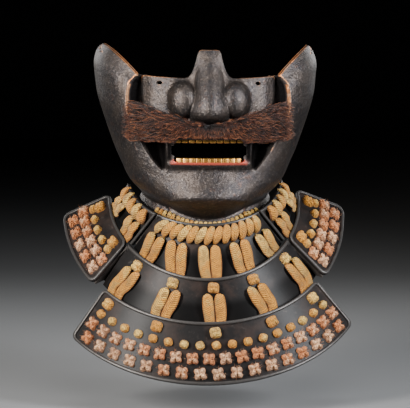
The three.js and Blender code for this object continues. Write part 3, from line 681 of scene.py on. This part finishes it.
def through(values, u):
    """A value on the smooth curve that passes through a list of values, u from 0 to 1."""
    last = len(values) - 1
    k = min(int(u * last), last - 1)
    t = u * last - k
    a, b = values[k], values[k + 1]
    slope_a = (b - values[max(k - 1, 0)]) * 0.5
    slope_b = (values[min(k + 2, last)] - a) * 0.5
    t2, t3 = t * t, t * t * t
    start = a * (2 * t3 - 3 * t2 + 1) + slope_a * (t3 - 2 * t2 + t)
    return start + b * (3 * t2 - 2 * t3) + slope_b * (t3 - t2)


def gather(name, points, faces, read):
    """A piece from points and faces, with the numbers that its finish reads."""
    mesh = bpy.data.meshes.new(name)
    mesh.from_pydata(points, [], faces)
    piece = bpy.data.objects.new(name, mesh)
    bpy.context.collection.objects.link(piece)
    for key, values in read.items():
        paint(piece, key, lambda vertex: values[vertex.index])
    face_outward(piece)
    return piece


class Braid:
    """Silk bands gathered into one mesh, with what their finish reads."""

    def __init__(self, seed):
        self.points = []
        self.faces = []
        # low runs from 0 at the start of a band to 1 at its end; the finish paints shade by it, and by
        # across along the band's edges.
        self.read = {"across": [], "along": [], "tone": [], "low": []}
        self.chance = random.Random(seed)

    def put(self, point, *read):
        self.points.append(point)
        for values, value in zip(self.read.values(), read):
            values.append(value)

    def lay(self, path, sides, widths, thicks, steps=14, round_sides=12, rough=0.0):
        """Lays a band along a path, with a flat oval section that follows the side direction."""
        tone = self.chance.random()
        first = len(self.points)
        run = 0
        before = path[0]
        for k in range(steps + 1):
            u = k / steps
            at = through(path, u)
            tangent = through(path, min(u + 0.01, 1)) - through(path, max(u - 0.01, 0))
            side = through(sides, u)
            side = (side - tangent.normalized() * side.dot(tangent.normalized())).normalized()
            up = tangent.cross(side).normalized()
            run += (at - before).length
            before = at
            half_width = through(widths, u) / 2
            half_thick = through(thicks, u) / 2
            for n in range(round_sides):
                turn = 2 * math.pi * n / round_sides
                across = math.copysign(abs(math.cos(turn)) ** 0.75, math.cos(turn))
                lift = math.copysign(abs(math.sin(turn)) ** 0.9, math.sin(turn))
                fray = 1 + rough * (self.chance.random() - 0.5)
                spread = side * across * half_width * fray
                self.put(at + spread + up * lift * half_thick * fray, across, run / mm, tone, u)
        for k in range(steps):
            for n in range(round_sides):
                a = first + k * round_sides + n
                b = first + k * round_sides + (n + 1) % round_sides
                self.faces.append((a, b, b + round_sides, a + round_sides))
        self.faces.append(tuple(range(first, first + round_sides)))
        end = first + steps * round_sides
        self.faces.append(tuple(range(end, end + round_sides)))

    def piece(self, name):
        braid = gather(name, self.points, self.faces, self.read)
        bpy.ops.object.shade_smooth_by_angle(angle=math.radians(60))
        return braid

    def arch(self, spot, chord, width, height, turn, thick):
        """A short band that comes up through a lame, arches over it and goes back in."""
        lean = math.radians(turn)
        forward = spot.down * math.cos(lean) + spot.along * math.sin(lean)
        side = spot.along * math.cos(lean) - spot.down * math.sin(lean)
        middle = spot.point(0, 0, lame_wall - 0.9 * mm)
        reaches = (-0.5, -0.47, -0.25, 0, 0.25, 0.47, 0.5)
        rises = [height * share for share in (0.45, 0.9, 1, 0.9, 0.45)]
        rises = [-0.3 * mm, *rises, -0.3 * mm]
        path = [middle + forward * chord * reach + spot.out * rise for reach, rise in zip(reaches, rises)]
        widths = [width * share for share in (0.45, 0.72, 0.98, 1.06, 0.98, 0.72, 0.45)]
        self.lay(path, [side] * len(path), widths, [thick] * len(path), steps=16)

    def button(self, spot, size, height, lobes, groove, turn=0, rough=0.0, rings=6, sectors=20):
        """Bands pulled crosswise into a rounded square knot, with a groove between its lobes."""
        first = len(self.points)
        tone = self.chance.random()
        turn = math.radians(turn)
        lobe_sizes = [self.chance.uniform(1 - rough, 1 + rough) for _ in range(4)]
        for ring in range(rings + 1):
            share = (ring / rings) ** 0.8
            for sector in range(sectors if ring else 1):
                angle = 2 * math.pi * sector / sectors
                four = math.cos(2 * (angle - math.pi / 4)) ** 2
                lobe = lobe_sizes[int(angle / (math.pi / 2)) % 4]
                radius = size / 2 * share * (1 - lobes + 2 * lobes * four * lobe)
                radius *= 1 + rough * 0.35 * (self.chance.random() - 0.5)
                up = math.sqrt(max(0, 1 - share ** 3))
                up -= groove * (1 - four) ** 2 * ramp(share, 0.15, 0.5) * (1 - 0.4 * share)
                up -= groove * 0.8 * (1 - ramp(share, 0, 0.3))
                up += rough * 0.4 * (self.chance.random() - 0.5)
                x, y = radius * math.cos(angle + turn), radius * math.sin(angle + turn)
                sunk = 0.6 * mm if ring == rings else 0
                at = spot.point(x, y, lame_wall + height * max(up, 0) - sunk)
                # Across is high in the grooves between the lobes and low towards the foot, so the finish
                # paints shade there.
                self.put(at, (1 - four) ** 1.5 * share, share * size / 2 / mm, tone, share ** 2 * 0.8)
        for sector in range(sectors):
            after = (sector + 1) % sectors
            self.faces.append((first, first + 1 + sector, first + 1 + after))
            for ring in range(rings - 1):
                a = first + 1 + ring * sectors
                self.faces.append((a + sector, a + sectors + sector, a + sectors + after, a + after))
        foot = first + 1 + (rings - 1) * sectors
        self.faces.append(tuple(range(foot, foot + sectors)))


def lay_pair(braid, pair):
    """Two bands and their knot."""
    upper, lower = pair["upper"], pair["lower"]
    s, t, knot = pair["s"], pair["t"], pair["knot"]
    loose = 1.6 * mm if upper == "tier1_right" else 0
    towards = s + (knot - s) * 0.6
    below = Spot(lower, knot, 0.16)
    for hand in (-1, 1):
        spread = hand * lace_width * 0.525
        slack = braid.chance.uniform(-0.4, 0.4) * mm
        rows = [
            (Spot(upper, s, t - 0.015), 0.6 * mm, 0.92),
            (Spot(upper, s, t), 2.6 * mm, 0.97),
            (Spot(upper, s, t + 0.05), 4 * mm, 1.03),
            (Spot(upper, s + (towards - s) * 0.4, (t + 0.9) / 2), 3.8 * mm + slack + loose, 1.05),
            (Spot(upper, towards, 0.86), 2.9 * mm + loose, 1),
        ]
        path = [spot.point(spread * apart, 0, out) for spot, out, apart in rows]
        path.append(below.point(spread * 0.7, 0, -1.6 * mm))
        sides = [spot.along for spot, out, apart in rows] + [below.along]
        widths = [lace_width * share for share in (0.26, 0.52, 0.92, 1.06, 0.98, 0.8)]
        braid.lay(path, sides, widths, [lace_thick * 1.15] * len(path), steps=24)
    lean = braid.chance.uniform(-8, 8)
    braid.button(Spot(lower, knot, knot_depth[lower]), 9.6 * mm, 5.4 * mm, 0.07, 0.3, lean, 0.06, 7, 24)


def silk_finish(name, light, middle, deep):
    """Braided silk: chevrons across the band, fading and stains in patches, and painted shade towards the
    lower end of each band and along its edges.
    """
    silk = Finish(name, Roughness=0.75, Sheen_Weight=0.1, Sheen_Roughness=0.5)
    across, along, tone, low = (silk.attribute(key) for key in ("across", "along", "tone", "low"))
    width = across.worked("ABSOLUTE", across)
    ridge = along * 0.62 + width * 1.6
    ridge = ridge.worked("FRACT", ridge)
    chevron = ridge * (1 - ridge) * 4
    fibre = silk.noise(0.9 * mm, 3, 0.7)
    stains = silk.noise(6 * mm, 4, 0.65)
    # The lower end of each band is painted darker, as shade, in both the fade and the stains.
    fade_and_lower_shade = stains + (tone - 0.5) * 0.35 - low * 0.12
    colour = silk.blend(fade_and_lower_shade.within(0.36, 0.56), middle, light)
    colour = silk.blend((1 - chevron) * 0.5 + (0.5 - fibre).within(0, 0.16) * 0.6, colour, deep)
    stain_and_lower_shade = stains * 0.7 + fibre * 0.3 + low * 0.1 + tone * 0.1
    colour = silk.blend(stain_and_lower_shade.within(0.56, 0.72) * 0.7, colour, deep)
    # Painted shade along the edges of each band.
    colour = silk.blend(width.within(0.7, 1) * 0.75, colour, deep)
    silk.feed("Base Color", colour)
    silk.emboss(chevron * 1.4 + fibre * 1.8, 0.5 * mm)
    return silk


gold_silk = silk_finish("gold_silk", (1, 0.66, 0.15, 1), (0.66, 0.28, 0.022, 1), (0.15, 0.04, 0.004, 1))

for number, pair in enumerate(lace_pairs):
    braid = Braid(100 + number)
    lay_pair(braid, pair)
    lace = braid.piece(f"{pair['name']}_silk")
    if pair["upper"] == "tier1_right":
        left = other_side(lace, f"{pair['name']}_left_silk")
        hang_up(left, gold_silk, f"{pair['name']}_left")
    hang_up(lace, gold_silk, pair["name"])


# The stitches under the rim of the first tier are one silk braid, wound through slanted
# slits so that it lies on the lame like a rope.
stitch_rows = table(
    "name lame count from to t lean",
    ("stitches_front", "tier1_front", 13, 0.1, 0.9, 0.215, -24),
    ("stitches_right", "tier1_right", 5, 0.17, 0.83, 0.24, -20),
)


def along_row(row):
    """The places of a row's stitches or knots on their lame."""
    step = (row["to"] - row["from"]) / (row["count"] - 1)
    return [Spot(row["lame"], row["from"] + step * k, row["t"]) for k in range(row["count"])]


for number, row in enumerate(stitch_rows):
    braid = Braid(200 + number)
    spots = along_row(row)
    pitch = (spots[-1].at - spots[0].at).length * 1.07 / (row["count"] - 1)
    for spot in spots:
        length = (11.6 + braid.chance.uniform(-0.7, 0.7)) * mm
        lean = row["lean"] + braid.chance.uniform(-6, 6)
        braid.arch(spot, length, pitch * 1.08, 4.4 * mm, lean, 3.8 * mm)
    stitches = braid.piece(f"{row['name']}_silk")
    if "right" in row["name"]:
        hang_up(other_side(stitches, "stitches_left_silk"), gold_silk, "stitches_left")
    hang_up(stitches, gold_silk, row["name"])


# The flange lacing ties the throat guard to the mask: a close row of silk braids that come
# out of the flange under the chin and go down behind the first lame.
def flange_edge(x):
    """The lower edge of the mask's flange, at a place across."""
    in_front = [vertex.co for vertex in mask.data.vertices if vertex.co.y < 52 * mm]
    near = [point for point in in_front if abs(point.x - x) < 1.6 * mm]
    lowest = min(point.z for point in near)
    edge = [point for point in near if point.z < lowest + 0.6 * mm]
    return Vector((x, min(point.y for point in edge), lowest))


braid = Braid(300)
straighten = askew.inverted()
flange_row = {"count": 24, "from": 0.07, "to": 0.93}
for k in range(flange_row["count"]):
    s = flange_row["from"] + (flange_row["to"] - flange_row["from"]) * (k + 0.5) / flange_row["count"]
    tucked = Spot("tier1_front", s, 0.2).point(0, 0, -1.4 * mm)
    edge = flange_edge(max(min(tucked.x * 1.08, 47 * mm), -47 * mm))
    away = outward(edge)
    lean = Vector((braid.chance.uniform(-0.3, 0.3), 0, 0)) * mm
    steps = ((0.2, 3.4), (1.9, 2), (2.2, -1.4))
    path = [edge + away * out * mm + Vector((0, 0, up * mm)) for out, up in steps]
    path = [straighten @ path[0], straighten @ (path[1] + lean), straighten @ (path[2] + lean), tucked]
    side = Spot("tier1_front", s, 0).along
    widths = [width * mm for width in (2.6, 3.7, 3.9, 3.6)]
    braid.lay(path, [side] * 4, widths, [2.3 * mm] * 4, steps=12)
flange_lacing = braid.piece("flange_lacing_silk")
hang_up(flange_lacing, gold_silk, "flange_lacing")


# The small knots stand in rows on the third tier and on the wings, and hold the leather
# lining of the lames. Round ones are one turn of braid. Crossed ones are of another silk,
# faded to peach, whose threads are frayed.
peach_silk = silk_finish("peach_silk", (1, 0.62, 0.34, 1), (0.66, 0.24, 0.075, 1), (0.17, 0.036, 0.009, 1))
knot_rows = table(
    "name lame count from to t",
    ("knots_tier3", "tier3_front", 17, 0.055, 0.945, 0.375),
    ("crosses_tier3_upper", "tier3_front", 18, 0.045, 0.955, 0.59),
    ("crosses_tier3_lower", "tier3_front", 17, 0.058, 0.942, 0.825),
    ("knots_wing_right", "wing_right", 5, 0.16, 0.86, 0.37),
    ("crosses_wing_right_upper", "wing_right", 6, 0.12, 0.9, 0.57),
    ("crosses_wing_right_lower", "wing_right", 5, 0.14, 0.84, 0.79),
)


def fray(braid, spot, size, height, count):
    """Loose threads that stand out of a knot."""
    for _ in range(count):
        turn = braid.chance.uniform(0, 2 * math.pi)
        reach = size / 2 * math.sqrt(braid.chance.random())
        foot = spot.point(reach * math.cos(turn), reach * math.sin(turn), lame_wall + height * 0.55)
        away = spot.along * math.cos(turn) + spot.down * math.sin(turn)
        away = away * braid.chance.uniform(0.1, 0.9) + spot.out * braid.chance.uniform(0.4, 1)
        drift = Vector([braid.chance.uniform(-0.4, 0.4) for _ in range(3)])
        length = braid.chance.uniform(1.4, 2.6) * mm
        tip = foot + (away.normalized() + drift) * length
        side = away.cross(spot.out + drift).normalized()
        braid.lay([foot, foot.lerp(tip, 0.55) + spot.out * 0.1 * mm, tip], [side] * 3,
                  [0.22 * mm, 0.2 * mm, 0.06 * mm], [0.2 * mm, 0.18 * mm, 0.05 * mm],
                  steps=2, round_sides=3)


for number, row in enumerate(knot_rows):
    braid = Braid(400 + number)
    crossed = row["name"].startswith("crosses")
    for spot in along_row(row):
        if not crossed:
            braid.button(spot, 7.4 * mm, 4.4 * mm, 0.03, 0.12, braid.chance.uniform(0, 90), 0.05, 5, 16)
        else:
            braid.button(spot, 9.8 * mm, 4.6 * mm, 0.19, 0.6, braid.chance.uniform(-12, 12), 0.16, 6, 24)
            fray(braid, spot, 9.4 * mm, 4.2 * mm, 60)
    finish = peach_silk if crossed else gold_silk
    knots = braid.piece(f"{row['name']}_silk")
    if "right" in row["name"]:
        left_name = row["name"].replace("right", "left")
        hang_up(other_side(knots, f"{left_name}_silk"), finish, left_name)
    hang_up(knots, finish, row["name"])


# The moustache is stiff bristle, dyed red-brown, set in small tufts in the upper lip. The
# bristles spread from under the nose to both sides, and hang short in the middle.
moustache_rows = table(
    "x z height thick",
    (0, 45.4, 13.5, 7), (16, 46.6, 17, 7.6), (34, 50.5, 23, 8),
    (52, 54, 29, 7), (62, 54.6, 29, 5), (66, 54.6, 24, 3),
)
hair = random.Random(7)
bristle_points, bristle_faces = [], []
bristle_read = {"tip": [], "tone": []}


def moustache_at(x, key):
    """Half height, middle level or thickness of the moustache, x mm from its middle."""
    x = min(abs(x), 66)
    for before, after in zip(moustache_rows, moustache_rows[1:]):
        if x <= after["x"]:
            share = (x - before["x"]) / (after["x"] - before["x"])
            return before[key] + (after[key] - before[key]) * share
    return moustache_rows[-1][key]


def in_moustache(x, level, front):
    """A place in the tuft. Level is -1 at its foot and 1 at its top, front -1 at its back."""
    thick = moustache_at(x, "thick") / 2 * math.sqrt(max(1 - min(abs(level), 1) ** 2, 0.1))
    y = -5.6 + 0.0052 * x * x - front * thick
    return Vector((x, y, moustache_at(x, "z") + level * moustache_at(x, "height") / 2)) * mm


def grow(path, root_width, tone, start=0.0):
    """One bristle: three sides, tapered to a point."""
    first = len(bristle_points)
    last = len(path) - 1
    for k, at in enumerate(path[:-1]):
        tangent = (path[k + 1] - at).normalized()
        side = tangent.cross(Vector((0.2, 1, 0.1))).normalized()
        up = side.cross(tangent)
        width = root_width * (1 - 0.75 * (k / last) ** 1.5)
        for n in range(3):
            turn = 2 * math.pi * n / 3 + 0.5
            bristle_points.append(at + (side * math.cos(turn) + up * math.sin(turn)) * width)
            bristle_read["tip"].append(start + (1 - start) * k / last)
            bristle_read["tone"].append(tone)
    bristle_points.append(path[-1])
    bristle_read["tip"].append(1)
    bristle_read["tone"].append(tone)
    for k in range(last - 1):
        for n in range(3):
            a, b = first + 3 * k + n, first + 3 * k + (n + 1) % 3
            bristle_faces.append((a, b, b + 3, a + 3))
    end = first + 3 * (last - 1)
    for n in range(3):
        bristle_faces.append((end + n, end + (n + 1) % 3, first + 3 * last))
    bristle_faces.append((first + 2, first + 1, first))


# A core of matted bristle roots fills the tuft from the back, painted near black as the shade deep in the
# tuft.
core_steps, core_sides = 24, 10
for k in range(core_steps + 1):
    x = 54 * (2 * k / core_steps - 1)
    for n in range(core_sides):
        turn = 2 * math.pi * n / core_sides
        at = in_moustache(x, 0, 0)
        half_height = moustache_at(x, "height") / 2 * mm * (0.5 + 0.2 * ramp(abs(x), 24, 34))
        half_thick = moustache_at(x, "thick") / 2 * mm * 0.5
        outline = Vector((0, 1.2 * mm - half_thick * math.sin(turn), half_height * math.cos(turn)))
        bristle_points.append(at + outline)
        bristle_read["tip"].append(0)
        bristle_read["tone"].append(0)
for k in range(core_steps):
    for n in range(core_sides):
        a, b = k * core_sides + n, k * core_sides + (n + 1) % core_sides
        bristle_faces.append((a, b, b + core_sides, a + core_sides))
bristle_faces.append(tuple(range(core_sides)))
bristle_faces.append(tuple(range(core_steps * core_sides, (core_steps + 1) * core_sides)))

# The bristles lie like thatch, and fan out from under the nose. Their tips stand out.
foot_in_middle = 41.4
thatch_count, short_count = 5600, 1000
for _ in range(thatch_count):
    x = 58 * hair.random() ** 0.95
    level = hair.uniform(-0.95, 0.95)
    length = hair.uniform(7, 16) * (0.75 + 0.25 * ramp(x, 0, 25))
    steep = 1 - ramp(x, 0, 26)
    flow = 20 * level - 8 - steep * (22 - 34 * level) + hair.gauss(0, 15)
    turn = math.radians(max(flow, -88))
    front, lift = hair.uniform(-0.5, 1), hair.uniform(0, 2.4)
    bend = hair.gauss(0, 0.12)
    hand = hair.choice((-1, 1))
    reach_up, reach_down = hair.uniform(0.36, 0.56), hair.uniform(0.4, 0.58)
    end_x = hair.uniform(62, 68.5)
    root = in_moustache(x, level, front)
    path = []
    for k in range(4):
        u = k / 3
        at = root.copy()
        at.x += length * math.cos(turn + bend * u) * u * mm
        at.z += length * math.sin(turn + bend * u) * u * mm
        at.y = in_moustache(at.x / mm, 0, front * 0.8).y - lift * u ** 1.5 * mm
        at.x = min(at.x, end_x * mm)
        low = moustache_at(at.x / mm, "z") - moustache_at(at.x / mm, "height") * reach_down
        if at.x < 26 * mm:
            low = max(low, foot_in_middle + 1.2 * math.sin(at.x * 900))
        top = moustache_at(at.x / mm, "z") + moustache_at(at.x / mm, "height") * reach_up
        at.z = min(max(at.z, (low + 0.3 * k) * mm), top * mm)
        at.x *= hand
        path.append(at)
    grow(path, hair.uniform(0.17, 0.27) * mm, hair.random(), 0.1)

# Short upright bristles stand in the middle of the lip.
for _ in range(short_count):
    x = hair.gauss(0, 14)
    foot = in_moustache(x, hair.uniform(-0.1, 0.85), hair.uniform(0.1, 1))
    length = hair.uniform(3.5, 8) * mm
    away = Vector((0.05 * x + hair.gauss(0, 0.3), -hair.uniform(0.1, 0.5), -1)).normalized()
    tip = foot + away * length
    tip.z = max(tip.z, (foot_in_middle - 0.4 + hair.uniform(-0.8, 0.8)) * mm)
    bend = Vector((hair.gauss(0, 0.25), -0.2, 0)) * mm
    path = [foot, foot.lerp(tip, 0.35) + bend, foot.lerp(tip, 0.7) + bend, tip]
    grow(path, hair.uniform(0.16, 0.24) * mm, hair.uniform(0.3, 1), 0.2)

bristles = gather("moustache_bristles", bristle_points, bristle_faces, bristle_read)
bpy.ops.object.shade_smooth()

bristle = Finish("bristle", Roughness=0.5)
tip, tone = bristle.attribute("tip"), bristle.attribute("tone")
# Painted shade and highlight: the bristles are near black at the root, where the tuft is in shade,
# red-brown along their length, and painted bright at many tips.
colour = bristle.blend(tip.within(0.3, 0.95), (0.003, 0.001, 0.0008, 1), (0.085, 0.019, 0.008, 1))
colour = bristle.blend((tip + tone * 0.6).within(1.05, 1.5) * 0.9, colour, (0.62, 0.235, 0.10, 1))
bristle.feed("Base Color", colour)
bristles.data.materials.append(bristle.material)
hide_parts("moustache")
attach(bristles, "root")


# The teeth are a strip of iron behind each edge of the mouth, hammered out into ten rounded
# teeth and gilt. The gilding is rubbed brown in patches, and turned near black in the gaps between the
# teeth.
teeth_rows = table(
    "name half_width front low high",
    ("upper_teeth", 27, 2.4, 37.4, 43.5),
    ("lower_teeth", 26, 2.8, 19.5, 26),
)
teeth_in_row = 10
gilt = Finish("gilt", Metallic=1)
rubs = gilt.noise(1.6 * mm, 4, 0.7)
gully = gilt.attribute("gully")
colour = gilt.blend(rubs.within(0.42, 0.7) * 0.6, (0.72, 0.4, 0.1, 1), (0.4, 0.18, 0.04, 1))
gilt.feed("Base Color", gilt.blend(gully, colour, (0.06, 0.022, 0.01, 1)))
gilt.feed("Roughness", 0.26 + rubs * 0.2 + gully * 0.3)
gilt.emboss(rubs, 0.12 * mm)

for row in teeth_rows:
    pitch = 2 * row["half_width"] / teeth_in_row * mm
    height = (row["high"] - row["low"]) * mm
    middle = (row["high"] + row["low"]) / 2 * mm
    select_none()
    bpy.ops.mesh.primitive_cube_add(size=1, location=(pitch / 2 - row["half_width"] * mm, 0, middle))
    teeth = bpy.context.object
    teeth.name = f"{row['name']}_gilt"
    teeth.scale = (pitch * 1.02, 2.6 * mm, height)
    bpy.ops.object.transform_apply(location=True, rotation=True, scale=True)
    edit()
    select_mesh()
    bpy.ops.mesh.bevel(offset=1.05 * mm, segments=4, profile=0.5)
    edit(False)
    finish_with(teeth, "ARRAY", count=teeth_in_row, use_relative_offset=False, use_constant_offset=True,
                constant_offset_displace=(pitch, 0, 0))

    def from_gap(vertex):
        share = (vertex.co.x + row["half_width"] * mm) / pitch
        return 1 - ramp(abs(share - round(share)), 0.03, 0.16)

    paint(teeth, "gully", from_gap)
    for vertex in teeth.data.vertices:
        x = vertex.co.x / mm
        vertex.co.y += (row["front"] + 1.3 + 0.0066 * x * x) * mm - 0.7 * mm
        vertex.co.x *= 0.995
    take_up(teeth)
    bpy.ops.object.shade_smooth_by_angle(angle=math.radians(60))
    teeth.data.materials.append(gilt.material)
    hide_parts(row["name"])
    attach(teeth, "root")


# The floor and the light: a pale floor below, two soft lamps in front at the sides, a weak one
# above and two weak ones behind.
floor_gap = 25 * mm
select_none()
bpy.ops.mesh.primitive_plane_add(size=8, location=(0, 0, cad_box[0][2] - floor_gap))
floor = bpy.context.object
floor.name = "floor"
paper = Finish("pale_floor", Roughness=0.9, Base_Color=(0.20, 0.204, 0.208, 1))
floor.data.materials.append(paper.material)

world = bpy.data.worlds.new("studio")
world.use_nodes = True
world.node_tree.nodes["Background"].inputs["Color"].default_value = (0.75, 0.78, 0.82, 1)
world.node_tree.nodes["Background"].inputs["Strength"].default_value = 0.001
bpy.context.scene.world = world


def softbox(name, place, width, height, power, colour):
    """A soft lamp that looks at the origin."""
    lamp = bpy.data.lights.new(name, "AREA")
    lamp.shape = "RECTANGLE"
    lamp.size = width
    lamp.size_y = height
    lamp.energy = power
    lamp.color = colour
    lamp.spread = math.radians(90)
    stand = bpy.data.objects.new(name, lamp)
    stand.location = place
    stand.rotation_mode = "QUATERNION"
    stand.rotation_quaternion = Vector(place).to_track_quat("Z", "Y")
    bpy.context.collection.objects.link(stand)


softbox("left_lamp", (-0.62, -0.52, 0.30), 0.24, 0.46, 4.4, (1, 0.97, 0.93))
softbox("right_lamp", (0.68, -0.46, 0.30), 0.2, 0.46, 3.7, (0.95, 0.97, 1))
softbox("top_lamp", (0.05, -0.25, 0.9), 0.4, 0.3, 0.6, (1, 1, 1))
softbox("rear_left_lamp", (-0.6, 0.75, 0.35), 0.5, 0.5, 0.8, (1, 1, 1))
softbox("rear_right_lamp", (0.6, 0.75, 0.35), 0.5, 0.5, 0.8, (1, 1, 1))


# The camera stands in front of the chin, a little above it and turned a little.
camera_target = Vector((-3, 0, -9.2)) * mm
camera_distance = 1400 * mm
camera_turn = math.radians(3)
camera_rise = math.radians(5)
camera_roll = math.radians(0.5)
camera = bpy.data.cameras.new("camera")
camera.lens = 159.6
camera_stand = bpy.data.objects.new("camera", camera)
look = Vector((
    math.sin(camera_turn) * math.cos(camera_rise),
    math.cos(camera_turn) * math.cos(camera_rise),
    -math.sin(camera_rise),
))
level_right = look.cross(Vector((0, 0, 1))).normalized()
level_up = level_right.cross(look)
right = level_right * math.cos(camera_roll) + level_up * math.sin(camera_roll)
up = level_up * math.cos(camera_roll) - level_right * math.sin(camera_roll)
camera_stand.matrix_world = Matrix.Translation(camera_target - look * camera_distance) @ Matrix(
    (right, up, -look)).transposed().to_4x4()
bpy.context.collection.objects.link(camera_stand)
bpy.context.scene.camera = camera_stand
